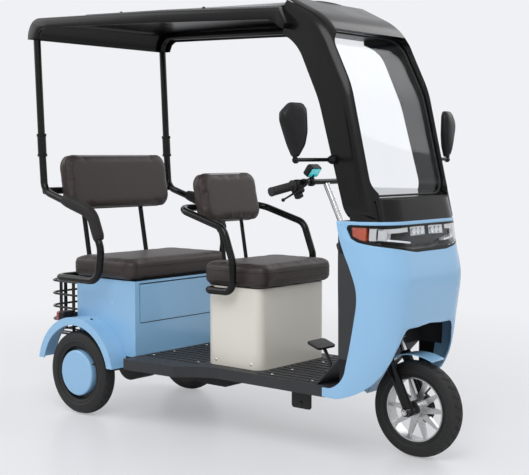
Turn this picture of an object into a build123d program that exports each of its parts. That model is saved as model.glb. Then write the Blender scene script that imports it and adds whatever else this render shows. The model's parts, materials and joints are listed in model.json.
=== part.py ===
from build123d import *
import math
import os

# Electric passenger tricycle, millimetres.
# X runs forward, Y to the vehicle's left, Z up. Drawing zero is below the rear axle;
# every finished piece is shifted by origin_shift so that zero ends under the middle.

# Wheels and track
wheelbase = 1530.0
wheel_radius = 185.0
tyre_width = 74.0
tyre_section_height = 62.0
rear_track = 680.0
rim_wall = 5.0
rim_width = 54.0
hub_radius = 34.0
hub_half_length = 37.0
axle_radius = 9.0
front_axle_radius = 7.0
bearing_play = 0.05
seat_gap = 0.3
cut_overrun = 50.0

# Floor and frame
floor_top = 284.0
floor_plate = 8.0
floor_skirt = 44.0
floor_wall = 6.0
floor_rear_half = 386.0
floor_notch_half = 274.0
floor_rear_x = 300.0
floor_front_x = 1300.0
floor_corner = 18.0
rib_height = 3.0
rib_width = 12.0
rib_count = 13
rail_size = 40.0
rail_half_gauge = 150.0
rail_rear_x = -150.0
rail_front_x = 1262.0
cross_member_size = 30.0

# Steering
rake_angle = 26.5
fork_offset = 15.0
fork_half_width = 62.0
stanchion_radius = 14.0
slider_radius = 19.0
slider_length = 225.0
stanchion_length = 200.0
crown_length = 290.0
crown_height = 26.0
steerer_radius = 13.0
steerer_length = 952.0
head_tube_radius = 25.0
head_tube_start = 440.0
head_tube_end = 700.0
handlebar_radius = 11.0
handlebar_half_width = 298.0
handlebar_rise = -5.0
handlebar_sweep = 46.0
grip_radius = 17.0
grip_length = 112.0

# Rear body
body_half_width = 297.0
body_front_x = 293.0
body_rear_x = -84.0
body_top = 604.0
body_wall = 6.0
body_corner = 38.0
body_chamfer_height = 150.0
body_chamfer_depth = 34.0
flap_bottom = 426.0
flap_side_margin = 26.0
flap_top_margin = 10.0
flap_gap = 5.5
flap_thickness = 14.0

# Fenders
fender_top = 433.0
fender_outer = 390.0
fender_wall = 5.0
fender_front_x = 248.0
fender_rear_x = -196.0
fender_bottom = 231.0

# Bench
bench_cushion_rear_x = -102.0
bench_cushion_front_x = 292.0
bench_cushion_half = 298.0
bench_cushion_thickness = 76.0
bench_board_thickness = 8.0
bench_back_bottom = 900.0
bench_back_height = 245.0
bench_back_half = 270.0
bench_back_thickness = 62.0
bench_back_tilt = 8.0
cushion_round = 24.0

# Roof and its posts
tube_radius = 16.0
post_half_gauge = 391.0
post_bottom_x = -187.0
post_bottom_z = 986.0
post_top_x = -228.0
roof_top = 1757.0
roof_band = 52.0
roof_wall = 5.0
roof_rear_x = -250.0
roof_front_half = 322.0
roof_corner = 70.0
clamp_radius = 21.0
clamp_length = 34.0
clamp_heights = (1155.0, 1224.0)

# Windscreen
frame_half_width = 286.0
frame_pillar = 48.0
frame_corner = 60.0
glass_thickness = 5.0
glass_setback = 34.0
glass_bottom = 990.0
glass_top = 1612.0

# Nose
nose_half_width = 286.0
nose_front_x = 1602.0
nose_setback = 100.0
nose_rear_x = 1180.0
nose_top = 905.0
nose_bottom = 238.0
nose_corner = 140.0
nose_wall = 6.0
lamp_bottom = 786.0
lamp_top = 892.0
lamp_rear_x = 1396.0
lamp_depth = 34.0
lamp_gap = 0.5

# Driver's seat
box_front_x = 928.0
box_rear_x = 635.0
box_half_width = 219.0
box_top = 612.0
box_wall = 6.0
box_corner = 42.0
seat_base_thickness = 8.0
seat_cushion_rear_x = 634.0
seat_cushion_front_x = 950.0
seat_cushion_half = 232.0
seat_cushion_thickness = 80.0
seat_back_bottom = 857.0
seat_back_height = 215.0
seat_back_half = 190.0
seat_back_thickness = 58.0
seat_back_tilt = 12.0
hoop_half_width = 262.0
hoop_radius = 15.0

# Mirrors
mirror_x = 1340.0
mirror_y = 523.0
mirror_z = 1234.0
mirror_half_width = 76.0
mirror_half_height = 98.0
mirror_thickness = 30.0
mirror_stem_radius = 7.0

# Rear basket
basket_rear_x = -312.0
basket_half_width = 280.0
basket_top = 569.0
basket_bottom = 330.0
basket_loops = 5
wire_radius = 5.0

rail_top = floor_top - floor_plate - seat_gap
rail_bottom = rail_top - rail_size
body_bottom = rail_top + seat_gap
rear_reach = -basket_rear_x + wire_radius
front_reach = wheelbase + wheel_radius
origin_shift = (front_reach - rear_reach) / 2
rake = math.radians(rake_angle)
axle_height = wheel_radius
nodes = {}


def block(x0, x1, y0, y1, z0, z1):
    return Pos((x0 + x1) / 2, (y0 + y1) / 2, (z0 + z1) / 2) * Box(x1 - x0, y1 - y0, z1 - z0)


def both_sides(shape):
    return shape + mirror(shape, about=Plane.XZ)


def bar(start, end, radius):
    path = Line(start, end)
    return sweep(Plane(origin=path @ 0, z_dir=path % 0) * Circle(radius), path=path)


def bent_tube(points, bend, radius):
    path = FilletPolyline(*points, radius=bend)
    return sweep(Plane(origin=path @ 0, z_dir=path % 0) * Circle(radius), path=path)


def drum(center, radius, y0, y1):
    height = y1 - y0
    return Pos(center[0], (y0 + y1) / 2, center[1]) * Rot(X=90) * Cylinder(radius, height)


def side_plate(outline, y0, y1):
    # Outline points are (x, z); the plate stands in the XZ plane from y0 to y1.
    face = make_face(Polyline(*[(x, 0, z) for x, z in outline], close=True))
    return Pos(0, y1, 0) * extrude(face, amount=y1 - y0, dir=(0, -1, 0))


def plan_plate(outline, z0, z1):
    face = make_face(Polyline(*[(x, y, 0) for x, y in outline], close=True))
    return Pos(0, 0, z0) * extrude(face, amount=z1 - z0, dir=(0, 0, 1))


def vertical_edges(shape):
    return shape.edges().filter_by(Axis.Z)


steer_origin = (wheelbase - fork_offset * math.cos(rake), 0, axle_height - fork_offset * math.sin(rake))
steer_plane = Plane(origin=steer_origin, x_dir=(math.cos(rake), 0, math.sin(rake)),
                    z_dir=(-math.sin(rake), 0, math.cos(rake)))


def steer_place(x, y, z):
    return steer_plane.from_local_coords(Vector(x, y, z))


def on_steering(shape):
    return steer_plane.location * shape


# Wheels
def tyre(y_middle, center_x):
    seat_radius = wheel_radius - tyre_section_height
    half = tyre_width / 2
    bead = rim_width / 2
    section = make_face(
        Line((seat_radius, -bead), (seat_radius, bead))
        + ThreePointArc((seat_radius, bead), (wheel_radius - tyre_section_height / 2, half),
                        (wheel_radius - rim_wall, half * tread_share))
        + ThreePointArc((wheel_radius - rim_wall, half * tread_share), (wheel_radius, 0),
                        (wheel_radius - rim_wall, -half * tread_share))
        + ThreePointArc((wheel_radius - rim_wall, -half * tread_share),
                        (wheel_radius - tyre_section_height / 2, -half), (seat_radius, -bead)))
    ring = revolve(section, Axis.Y)
    return Pos(center_x, y_middle, axle_height) * ring


tread_share = 0.62


def rim_barrel(center_x, y_middle):
    outer = wheel_radius - tyre_section_height
    barrel = drum((center_x, axle_height), outer, y_middle - rim_width / 2, y_middle + rim_width / 2)
    inner = drum((center_x, axle_height), outer - rim_wall, y_middle - rim_width, y_middle + rim_width)
    return barrel - inner


def hub(center_x, y_middle, half_length, bore):
    body = drum((center_x, axle_height), hub_radius, y_middle - half_length, y_middle + half_length)
    return body - drum((center_x, axle_height), bore, y_middle - rear_track, y_middle + rear_track)


spoke_count = 10
spoke_root_half = 15.0
spoke_tip_half = 5.0
spoke_thickness = 14.0


def front_rim():
    outer = wheel_radius - tyre_section_height - rim_wall / 2
    wheel = rim_barrel(wheelbase, 0) + hub(wheelbase, 0, hub_half_length, front_axle_radius + bearing_play)
    spoke = make_face(Polyline((hub_radius * hub_sink_share, -spoke_root_half), (outer, -spoke_tip_half),
                               (outer, spoke_tip_half), (hub_radius * hub_sink_share, spoke_root_half),
                               close=True))
    spoke = Rot(X=90) * extrude(spoke, amount=spoke_thickness / 2, both=True)
    for index in range(spoke_count):
        wheel += Pos(wheelbase, 0, axle_height) * Rot(Y=index * 360 / spoke_count) * spoke
    return wheel


hub_sink_share = 0.8
rear_disc_thickness = 8.0
cover_radius = 101.0
cover_dome = 14.0
rear_hub_inner = 60.0


def rear_rim(side):
    y_middle = side * rear_track / 2
    outer = wheel_radius - tyre_section_height - rim_wall / 2
    wheel = rim_barrel(wheelbase * 0, y_middle) + hub(0, y_middle, hub_half_length / 2,
                                                      axle_radius + bearing_play)
    disc = drum((0, axle_height), outer, y_middle - rear_disc_thickness / 2,
                y_middle + rear_disc_thickness / 2)
    disc -= drum((0, axle_height), hub_radius * hub_sink_share, y_middle - rim_width, y_middle + rim_width)
    return wheel + disc


def wheel_cover(side):
    # Round-edged cap on the outer face of a rear wheel, with a short ring that stands on the disc.
    ring_depth = rim_width / 2 - rear_disc_thickness / 2 - seat_gap
    cap = Cylinder(cover_radius, cover_dome, align=(Align.CENTER, Align.CENTER, Align.MIN))
    cap = fillet(cap.faces().sort_by(Axis.Z)[-1].edges(), cover_dome * dome_share)
    ring = Pos(0, 0, -ring_depth) * Cylinder(cover_radius, ring_depth, align=(Align.CENTER, Align.CENTER,
                                                                              Align.MIN))
    hollow = Pos(0, 0, -ring_depth) * Cylinder(cover_radius - rim_wall, ring_depth + cover_dome - rim_wall,
                                               align=(Align.CENTER, Align.CENTER, Align.MIN))
    cover = Rot(X=-side * 90) * (cap + ring - hollow)
    return Pos(0, side * (rear_track / 2 + rim_width / 2), axle_height) * cover


dome_share = 0.6

nodes["front_tyre"] = tyre(0, wheelbase)
nodes["front_rim"] = front_rim()
for name, side in (("right", -1), ("left", 1)):
    nodes["rear_tyre_" + name] = tyre(side * rear_track / 2, 0)
    nodes["rear_rim_" + name] = rear_rim(side)
    nodes["rear_cover_" + name] = wheel_cover(side)

# Frame under the floor, with the head tube
down_tube_radius = 20.0


def chassis_frame():
    frame = both_sides(block(rail_rear_x, rail_front_x, rail_half_gauge - rail_size / 2,
                             rail_half_gauge + rail_size / 2, rail_bottom, rail_top))
    for share in cross_member_shares:
        x = rail_rear_x + (rail_front_x - cross_member_size - rail_rear_x) * share
        frame += block(x, x + cross_member_size, -rail_half_gauge, rail_half_gauge,
                       rail_bottom + floor_wall, rail_top - floor_wall)
    head = on_steering(Pos(0, 0, (head_tube_start + head_tube_end) / 2)
                       * Cylinder(head_tube_radius, head_tube_end - head_tube_start))
    foot_x = rail_front_x - cross_member_size / 2
    joint_low = steer_place(0, 0, head_tube_start + head_tube_radius)
    tube = bar((foot_x, 0, rail_top - rail_size / 2), (joint_low.X, 0, joint_low.Z), down_tube_radius)
    bore = on_steering(Pos(0, 0, (head_tube_start + head_tube_end) / 2)
                       * Cylinder(steerer_radius + bearing_play, steerer_length))
    return frame + head + tube - bore


cross_member_shares = (0.0, 0.3, 0.5, 0.75, 1.0)
nodes["chassis_frame"] = chassis_frame()


# Column cover and toe board of the inner leg shield, which stand on the floor
column_half = 96.0
column_rear_x = 1112.0
column_rear_low_x = 1205.0
shield_x = 1361.0
shield_wall = 6.0
toe_x = 1256.0
toe_rise = 110.0

# Floor
floor_front_half = nose_half_width * 0.985 - nose_wall - seat_gap


def floor_outline(inset):
    right = [(floor_rear_x + inset, floor_rear_half - inset)]
    length = floor_front_x - floor_rear_x
    for along_share, half in ((0.29, floor_rear_half * rear_taper_share),
                              (0.36, (floor_rear_half + floor_notch_half) * middle_share),
                              (0.44, floor_notch_half),
                              (0.69, floor_notch_half + (floor_front_half - floor_notch_half) / 2)):
        right.append((floor_rear_x + length * along_share, half - inset))
    right.append((floor_front_x - inset, floor_front_half - inset))
    return right + [(x, -y) for x, y in reversed(right)]


rear_taper_share = 0.955
middle_share = 0.475


def floor_board():
    bottom = floor_top - floor_skirt
    board = plan_plate(floor_outline(0), bottom, floor_top)
    board = fillet(vertical_edges(board), floor_corner)
    board -= plan_plate(floor_outline(floor_wall), bottom - cut_overrun, floor_top - floor_plate)
    board -= block(floor_rear_x - cut_overrun, floor_rear_x + cut_overrun, -rail_half_gauge - rail_size,
                   rail_half_gauge + rail_size, bottom - cut_overrun, floor_top - floor_plate)
    board -= block(column_rear_low_x + shield_wall, floor_front_x + cut_overrun,
                   -column_half + shield_wall, column_half - shield_wall, bottom, floor_top + cut_overrun)
    spread = floor_notch_half - rib_width * 2
    for index in range(rib_count):
        y = -spread + 2 * spread * index / (rib_count - 1)
        front_end = toe_x - rib_width
        if abs(y) < column_half + rib_width:
            front_end = column_rear_low_x - rib_width
        for start, end in ((floor_rear_x + floor_corner, box_rear_x - floor_corner),
                           (box_front_x + floor_corner, front_end)):
            board += block(start, end, y - rib_width / 2, y + rib_width / 2, floor_top,
                           floor_top + rib_height)
    return board


nodes["floor_board"] = floor_board()

pan_front_x = 711.0
pan_rear_x = 528.0
pan_bottom = 182.0
pan_half = rail_half_gauge + rail_size / 2
pan_round = 30.0


def under_pan():
    pan = block(pan_rear_x, pan_front_x, -pan_half, pan_half, pan_bottom, rail_bottom - seat_gap)
    pan = fillet(pan.edges().filter_by(Axis.Y), pan_round / 2)
    return pan


nodes["under_pan"] = under_pan()

# Rear axle with its motor and gear case, springs
axle_tube_radius = 24.0
gear_case_radius = 80.0
gear_case_half = 62.0
spring_half_gauge = 150.0
leaf_length = 420.0
leaf_width = 40.0
leaf_count = 3
leaf_thickness = (rail_bottom - axle_height - axle_tube_radius - seat_gap * 2) / leaf_count


def rear_axle():
    tube_end = rear_track / 2 - hub_half_length / 2 - floor_wall
    axle = drum((0, axle_height), axle_tube_radius, -tube_end, tube_end)
    axle += drum((0, axle_height), gear_case_radius, -gear_case_half, gear_case_half)
    axle += drum((0, axle_height), axle_radius, -rear_track / 2 - hub_half_length / 4,
                 rear_track / 2 + hub_half_length / 4)
    return axle


nodes["rear_axle"] = rear_axle()


def rear_springs():
    spring = None
    base = axle_height + axle_tube_radius + seat_gap
    for index in range(leaf_count):
        half = leaf_length / 2 * (1 - index / (leaf_count + 1))
        leaf = block(-half, half, spring_half_gauge - leaf_width / 2, spring_half_gauge + leaf_width / 2,
                     base + (leaf_count - 1 - index) * leaf_thickness,
                     base + (leaf_count - index) * leaf_thickness)
        spring = leaf if spring is None else spring + leaf
    return both_sides(spring)


nodes["rear_springs"] = rear_springs()


# Rear body: a hollow box with an open top and a flap opening in its front wall
def body_outline(inset):
    slope = body_chamfer_depth / body_chamfer_height
    return [(body_front_x - inset, body_bottom + inset), (body_front_x - inset, body_top),
            (body_rear_x + inset, body_top), (body_rear_x + inset, body_bottom + body_chamfer_height),
            (body_rear_x + body_chamfer_depth + inset, body_bottom + inset)]


def rear_body():
    shell = side_plate(body_outline(0), -body_half_width, body_half_width)
    shell -= side_plate(body_outline(body_wall), -body_half_width + body_wall, body_half_width - body_wall)
    top_cut = block(body_rear_x + body_wall, body_front_x - body_wall, -body_half_width + body_wall,
                    body_half_width - body_wall, body_top - body_wall * 2, body_top + cut_overrun)
    opening = block(body_front_x - cut_overrun, body_front_x + cut_overrun,
                    -body_half_width + flap_side_margin, body_half_width - flap_side_margin,
                    flap_bottom, body_top - flap_top_margin)
    return shell - top_cut - opening


nodes["rear_body"] = rear_body()


def storage_flap():
    half = body_half_width - flap_side_margin - flap_gap
    flap = block(body_front_x - flap_thickness, body_front_x, -half, half,
                 flap_bottom + seat_gap, body_top - flap_top_margin - flap_gap)
    return flap


nodes["storage_flap"] = storage_flap()


def fender(side):
    # A round arch over the wheel, closed on its outer side above the tyre.
    inner_y = body_half_width + seat_gap
    radius = fender_top - axle_height
    arch = drum((0, axle_height), radius, inner_y, fender_outer)
    hollow = drum((0, axle_height), radius - fender_wall, inner_y - cut_overrun,
                  fender_outer - fender_wall)
    window = drum((0, axle_height), radius * fender_lip_share, inner_y - cut_overrun,
                  fender_outer + cut_overrun)
    below = block(-radius * 2, radius * 2, inner_y - cut_overrun, fender_outer + cut_overrun,
                  -radius, fender_bottom)
    shape = arch - hollow - window - below
    if side < 0:
        shape = mirror(shape, about=Plane.XZ)
    return shape


fender_lip_share = 0.86
for name, side in (("right", -1), ("left", 1)):
    nodes["rear_fender_" + name] = fender(side)


# Bench: cushion on its lid board, and a backrest on two stays
def cushion(x0, x1, half, z0, z1):
    pad = block(x0, x1, -half, half, z0, z1)
    return fillet(pad.edges(), cushion_round)


board_top = body_top + seat_gap + bench_board_thickness
nodes["bench_lid_board"] = block(bench_cushion_rear_x + cushion_round, bench_cushion_front_x - cushion_round,
                                 -bench_cushion_half + cushion_round, bench_cushion_half - cushion_round,
                                 body_top + seat_gap, board_top)
nodes["bench_cushion"] = cushion(bench_cushion_rear_x, bench_cushion_front_x, bench_cushion_half,
                                 board_top + seat_gap, board_top + seat_gap + bench_cushion_thickness)


def tilted_back(x, z0, height, half, thickness, tilt, corner):
    back = Box(thickness, 2 * half, height)
    back = fillet(back.edges().filter_by(Axis.X), corner)
    return Pos(x, 0, z0 + height / 2) * Rot(Y=-tilt) * back


def back_place(tube_x, tube_z, radius, z0, height, thickness, tilt):
    # Middle of a backrest whose rear face leans on a cross tube.
    lean = math.radians(tilt)
    return (tube_x + (radius + seat_gap + thickness / 2) / math.cos(lean)
            - (z0 + height / 2 - tube_z) * math.tan(lean))


back_corner = 58.0
cross_tube_x = post_bottom_x
bench_back_x = back_place(cross_tube_x, post_bottom_z, tube_radius, bench_back_bottom, bench_back_height,
                          bench_back_thickness, bench_back_tilt)
nodes["bench_backrest"] = tilted_back(bench_back_x, bench_back_bottom, bench_back_height, bench_back_half,
                                      bench_back_thickness, bench_back_tilt, back_corner)

# Bent tubes of the bench: posts, armrests and the cross tube
arm_front_x = 184.0
arm_top_z = 891.0
arm_knee_z = 743.0
arm_bottom_z = 604.0
arm_rear_x = -118.0
post_bend = 70.0
arm_end_half = 303.0


def bench_frame():
    side = bent_tube([(post_top_x * post_cut_share, post_half_gauge, clamp_heights[0]),
                      (post_bottom_x, post_half_gauge, post_bottom_z),
                      (arm_front_x - arm_slope_run, post_half_gauge, arm_top_z),
                      (arm_front_x, post_half_gauge, arm_knee_z),
                      (arm_front_x - arm_foot_run, post_half_gauge, arm_bottom_z),
                      (arm_rear_x, post_half_gauge, arm_bottom_z),
                      (arm_rear_x, 0, arm_bottom_z)], arm_bends, tube_radius)
    cross = bar((cross_tube_x, 0, post_bottom_z), (cross_tube_x, post_half_gauge, post_bottom_z), tube_radius)
    stay = bar((arm_rear_x, stay_half_gauge, arm_bottom_z), (cross_tube_x, stay_half_gauge, post_bottom_z),
               stay_radius)
    return both_sides(side + cross + stay)


post_cut_share = 0.873
arm_slope_run = 60.0
arm_foot_run = 20.0
arm_bends = (60.0, 70.0, 90.0, 60.0, 50.0)
stay_half_gauge = 180.0
stay_radius = 11.0
nodes["bench_frame"] = bench_frame()


# Foot of the windscreen frame and the reach of its hood
screen_foot_x = 1530.0
screen_foot_z = nose_top + seat_gap
screen_run = 430.0
screen_rise = 838.0
roof_front_x = screen_foot_x - screen_run - seat_gap


# Roof posts and side rails
rail_lap = 60.0


def roof_frame():
    rail_z = roof_top - roof_band - tube_radius - seat_gap
    side = bent_tube([(post_top_x * post_cut_share, post_half_gauge, clamp_heights[0] + seat_gap),
                      (post_top_x, post_half_gauge, rail_z),
                      (roof_front_x + rail_lap, frame_half_width + tube_radius + seat_gap, rail_z)], post_bend,
                     tube_radius)
    return both_sides(side)


nodes["roof_frame"] = roof_frame()


def roof_outline(inset):
    rear_half = post_half_gauge + tube_radius - inset
    front_half = roof_front_half - inset
    return [(roof_rear_x + inset, rear_half), (roof_front_x - inset, front_half),
            (roof_front_x - inset, -front_half), (roof_rear_x + inset, -rear_half)]


def roof_shell():
    shell = plan_plate(roof_outline(0), roof_top - roof_band, roof_top)
    shell = fillet(vertical_edges(shell), roof_corner)
    shell = fillet(shell.faces().sort_by(Axis.Z)[-1].edges(), roof_band * roof_edge_share)
    under = plan_plate(roof_outline(roof_skirt), roof_top - roof_band - cut_overrun, roof_top - roof_wall * 2)
    under = fillet(vertical_edges(under), roof_corner - roof_skirt)
    return shell - under


roof_edge_share = 0.5
roof_skirt = 14.0
nodes["roof_shell"] = roof_shell()

# Windscreen frame with the hood: one side profile, pulled across and opened for the glass.
# Columns: run back from the foot and height above it, both as shares, for front and rear lines.
screen_front_shares = ((0.0, 0.0), (0.275, 0.595), (0.558, 0.888), (1.0, 1.0))
screen_rear_shares = ((0.312, 0.0), (0.61, 0.53), (0.85, 0.787), (1.0, 0.825))
screen_bends = (380.0, 260.0)
screen_rear_bends = (420.0, 180.0)
hood_wall = 8.0
glass_edge = 10.0


def screen_line(shares, back, down):
    return [(screen_foot_x - back - screen_run * run, 0, screen_foot_z + screen_rise * rise - down * rise)
            for run, rise in shares]


def screen_slab(front, rear, half):
    # Front and rear are (points, bends); the ends are closed with straight lines.
    front_path = FilletPolyline(*front[0], radius=front[1])
    rear_path = FilletPolyline(*rear[0], radius=rear[1])
    face = make_face(front_path + Line(front_path @ 1, rear_path @ 1) + rear_path
                     + Line(rear_path @ 0, front_path @ 0))
    return Pos(0, half, 0) * extrude(face, amount=2 * half, dir=(0, -1, 0))


def windscreen_frame():
    front = (screen_line(screen_front_shares, 0, 0), screen_bends)
    rear = (screen_line(screen_rear_shares, 0, 0), screen_rear_bends)
    slab = screen_slab(front, rear, frame_half_width)
    front_edges = slab.edges().filter_by_position(Axis.X, roof_front_x + frame_corner, nose_front_x)
    side_edges = [edge for edge in front_edges
                  if abs(abs((edge @ 0.5).Y) - frame_half_width) < frame_gauge
                  and abs((edge @ 0).Y - (edge @ 1).Y) < frame_gauge
                  and (edge @ 0.5).X > screen_foot_x - screen_run * front_edge_share
                  - ((edge @ 0.5).Z - screen_foot_z) * front_edge_slope]
    slab = fillet(side_edges, frame_corner)
    inner_half = frame_half_width - frame_pillar
    window = block(0, nose_front_x + cut_overrun, -inner_half, inner_half, glass_bottom, glass_top)
    hood_core = screen_slab((screen_line(screen_front_shares, hood_wall, hood_wall), screen_bends),
                            (screen_line(screen_rear_shares, cut_overrun, cut_overrun), screen_rear_bends),
                            frame_half_width - hood_wall * 3)
    middle = block(0, nose_front_x, -frame_half_width, frame_half_width, glass_bottom - glass_edge,
                   glass_top + glass_edge)
    return slab - window - (hood_core - middle)


frame_gauge = 1.0
front_edge_share = 0.16
front_edge_slope = 0.3
nodes["windscreen_frame"] = windscreen_frame()


def windscreen_glass():
    front = (screen_line(screen_front_shares, glass_setback, glass_setback), screen_bends)
    rear = (screen_line(screen_front_shares, glass_setback + glass_thickness,
                        glass_setback + glass_thickness), screen_bends)
    pane = screen_slab(front, rear, frame_half_width - frame_pillar - seat_gap)
    return pane & block(0, nose_front_x, -frame_half_width, frame_half_width, glass_bottom + seat_gap,
                        glass_top - seat_gap)


nodes["windscreen_glass"] = windscreen_glass()

# Nose shell.
# Columns: height share of the nose, half-width share, share of the setback behind the foremost point.
nose_section_shares = ((0.0, 0.985, 1.0), (0.25, 0.985, 0.37), (0.49, 0.99, 0.12), (0.68, 1.0, 0.0),
                       (0.85, 1.0, 0.22), (1.0, 0.993, 0.36))


def nose_form(inset):
    sections = []
    for height_share, half_share, setback_share in nose_section_shares:
        z = nose_bottom + (nose_top - nose_bottom) * height_share
        half = nose_half_width * half_share - inset
        front = nose_front_x - nose_setback * setback_share - inset
        corner = nose_corner - inset
        arc_low = corner * math.cos(math.radians(45))
        lines = (Line((nose_rear_x, half, z), (front - corner, half, z))
                 + ThreePointArc((front - corner, half, z),
                                 (front - corner + arc_low, half - corner + arc_low, z),
                                 (front, half - corner, z))
                 + Line((front, half - corner, z), (front, -half + corner, z))
                 + ThreePointArc((front, -half + corner, z),
                                 (front - corner + arc_low, -half + corner - arc_low, z),
                                 (front - corner, -half, z))
                 + Line((front - corner, -half, z), (nose_rear_x, -half, z))
                 + Line((nose_rear_x, -half, z), (nose_rear_x, half, z)))
        sections.append(make_face(lines))
    return loft(sections)


# Outline of what stays of the shell in side view: rear edge going down, then the arch going up.
# Columns: share back from the foremost point over nose_length, height share.
nose_length = 320.0
nose_rear_shares = ((0.79, 1.0), (0.76, 0.94), (0.66, 0.77), (0.51, 0.61), (0.49, 0.505), (0.61, 0.29),
                    (0.66, 0.15), (0.76, 0.08), (0.99, 0.06), (0.99, 0.01), (0.55, 0.037))
nose_arch_shares = ((0.35, 0.10), (0.115, 0.265), (0.04, 0.41), (-0.1, 0.45), (-0.1, 1.0))


def nose_point(back_share, height_share):
    return (nose_front_x - nose_length * back_share, nose_bottom + (nose_top - nose_bottom) * height_share)


def nose_shell():
    shell = nose_form(0) - nose_form(nose_wall)
    keep = side_plate([nose_point(*pair) for pair in nose_rear_shares + nose_arch_shares],
                      -nose_half_width - cut_overrun, nose_half_width + cut_overrun)
    band = block(lamp_rear_x, nose_front_x + cut_overrun, -nose_half_width - cut_overrun,
                 nose_half_width + cut_overrun, lamp_bottom, lamp_top)
    return (shell & keep) - band


nodes["nose_shell"] = nose_shell()


def lamp_housing():
    band = block(lamp_rear_x + lamp_gap, nose_front_x + cut_overrun, -nose_half_width - cut_overrun,
                 nose_half_width + cut_overrun, lamp_bottom + lamp_gap, lamp_top - lamp_gap)
    return (nose_form(lamp_gap) - nose_form(lamp_depth)) & band


nodes["headlamp_housing"] = lamp_housing()

# Inner leg shield: a toe board and an upright panel that fit inside the nose, with the column cover
def leg_shield():
    foot_z = floor_top + seat_gap
    toe = side_plate([(toe_x, foot_z), (shield_x, foot_z + toe_rise), (shield_x, nose_top),
                      (shield_x - shield_wall, nose_top), (shield_x - shield_wall, foot_z + toe_rise),
                      (toe_x - shield_wall, foot_z)], -nose_half_width, nose_half_width)
    fit = nose_form(nose_wall + seat_gap)
    skin = fit - nose_form(nose_wall + seat_gap + shield_wall)
    rim = skin & block(shield_x - shield_wall, shield_front_x, -nose_half_width, nose_half_width,
                       foot_z + toe_rise, lamp_bottom - lamp_gap)
    rim += skin & block(shield_x - shield_wall, lamp_rear_x, -nose_half_width, nose_half_width,
                        lamp_bottom - cut_overrun, nose_top)
    panel = (toe & fit) + rim
    outer = side_plate([(column_rear_low_x, foot_z), (shield_x, foot_z), (shield_x, nose_top),
                        (column_rear_x, nose_top)], -column_half, column_half)
    inner = side_plate([(column_rear_low_x + shield_wall, floor_top - cut_overrun),
                        (shield_x + cut_overrun, floor_top - cut_overrun),
                        (shield_x + cut_overrun, nose_top + cut_overrun),
                        (column_rear_x + shield_wall, nose_top + cut_overrun)],
                       -column_half + shield_wall, column_half - shield_wall)
    return panel + outer - inner


shield_front_x = 1470.0
nodes["inner_leg_shield"] = leg_shield()


# Driver's seat box, battery, seat base, cushion, backrest, hoop
def seat_box():
    box = block(box_rear_x, box_front_x, -box_half_width, box_half_width, floor_top + seat_gap, box_top)
    box = fillet(vertical_edges(box), box_corner)
    hollow = block(box_rear_x + box_wall, box_front_x - box_wall, -box_half_width + box_wall,
                   box_half_width - box_wall, floor_top, box_top + cut_overrun)
    hollow = fillet(vertical_edges(hollow), box_corner - box_wall)
    return box - hollow


nodes["seat_box"] = seat_box()

battery_length = 200.0
battery_half_width = 150.0
battery_height = 170.0
battery_x = 780.0
nodes["battery_block"] = block(battery_x - battery_length / 2, battery_x + battery_length / 2,
                               -battery_half_width, battery_half_width, floor_top + seat_gap,
                               floor_top + seat_gap + battery_height)

base_top = box_top + seat_gap + seat_base_thickness
base_rear_x = 624.0
base_half_width = 231.0
nodes["seat_base"] = block(base_rear_x - stay_radius, box_front_x + floor_wall, -base_half_width,
                           base_half_width, box_top + seat_gap, base_top)
hoop_rear_x = 520.0
hoop_rear_z = 925.0
seat_back_x = back_place(hoop_rear_x, hoop_rear_z, hoop_radius, seat_back_bottom, seat_back_height,
                         seat_back_thickness, seat_back_tilt)
nodes["driver_cushion"] = cushion(seat_cushion_rear_x, seat_cushion_front_x, seat_cushion_half,
                                  base_top + seat_gap, base_top + seat_gap + seat_cushion_thickness)
nodes["driver_backrest"] = tilted_back(seat_back_x, seat_back_bottom, seat_back_height, seat_back_half,
                                       seat_back_thickness, seat_back_tilt, back_corner)

hoop_front_x = 822.0
hoop_front_top_z = 852.0
hoop_knee_z = 720.0
hoop_foot_z = box_top - hoop_radius
hoop_side_gap = 5.5
hoop_bend = 50.0


def driver_hoop():
    half = bent_tube([(hoop_rear_x, 0, hoop_rear_z), (hoop_rear_x, hoop_half_width, hoop_rear_z),
                      (hoop_front_x - cut_overrun, hoop_half_width, hoop_front_top_z),
                      (hoop_front_x, hoop_half_width, hoop_knee_z),
                      (hoop_front_x, hoop_half_width, hoop_foot_z),
                      (box_rear_x + box_corner, hoop_half_width, hoop_foot_z),
                      (box_rear_x + box_corner, box_half_width + hoop_side_gap, hoop_foot_z)],
                     hoop_bends, hoop_radius)
    return both_sides(half)


hoop_bends = (60.0, 60.0, 60.0, 40.0, 30.0)
nodes["driver_hoop"] = driver_hoop()
back_stay_half_gauge = 70.0


def backrest_stays():
    lean = math.radians(seat_back_tilt)
    top_z = seat_back_bottom - stay_radius
    top_x = seat_back_x + seat_back_height / 2 * math.tan(lean)
    return both_sides(bar((base_rear_x - stay_radius / 2, back_stay_half_gauge, base_top + stay_lift),
                          (top_x, back_stay_half_gauge, top_z), stay_radius * stay_share))


stay_share = 0.75
stay_lift = 1.2
nodes["backrest_stays"] = backrest_stays()


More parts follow.
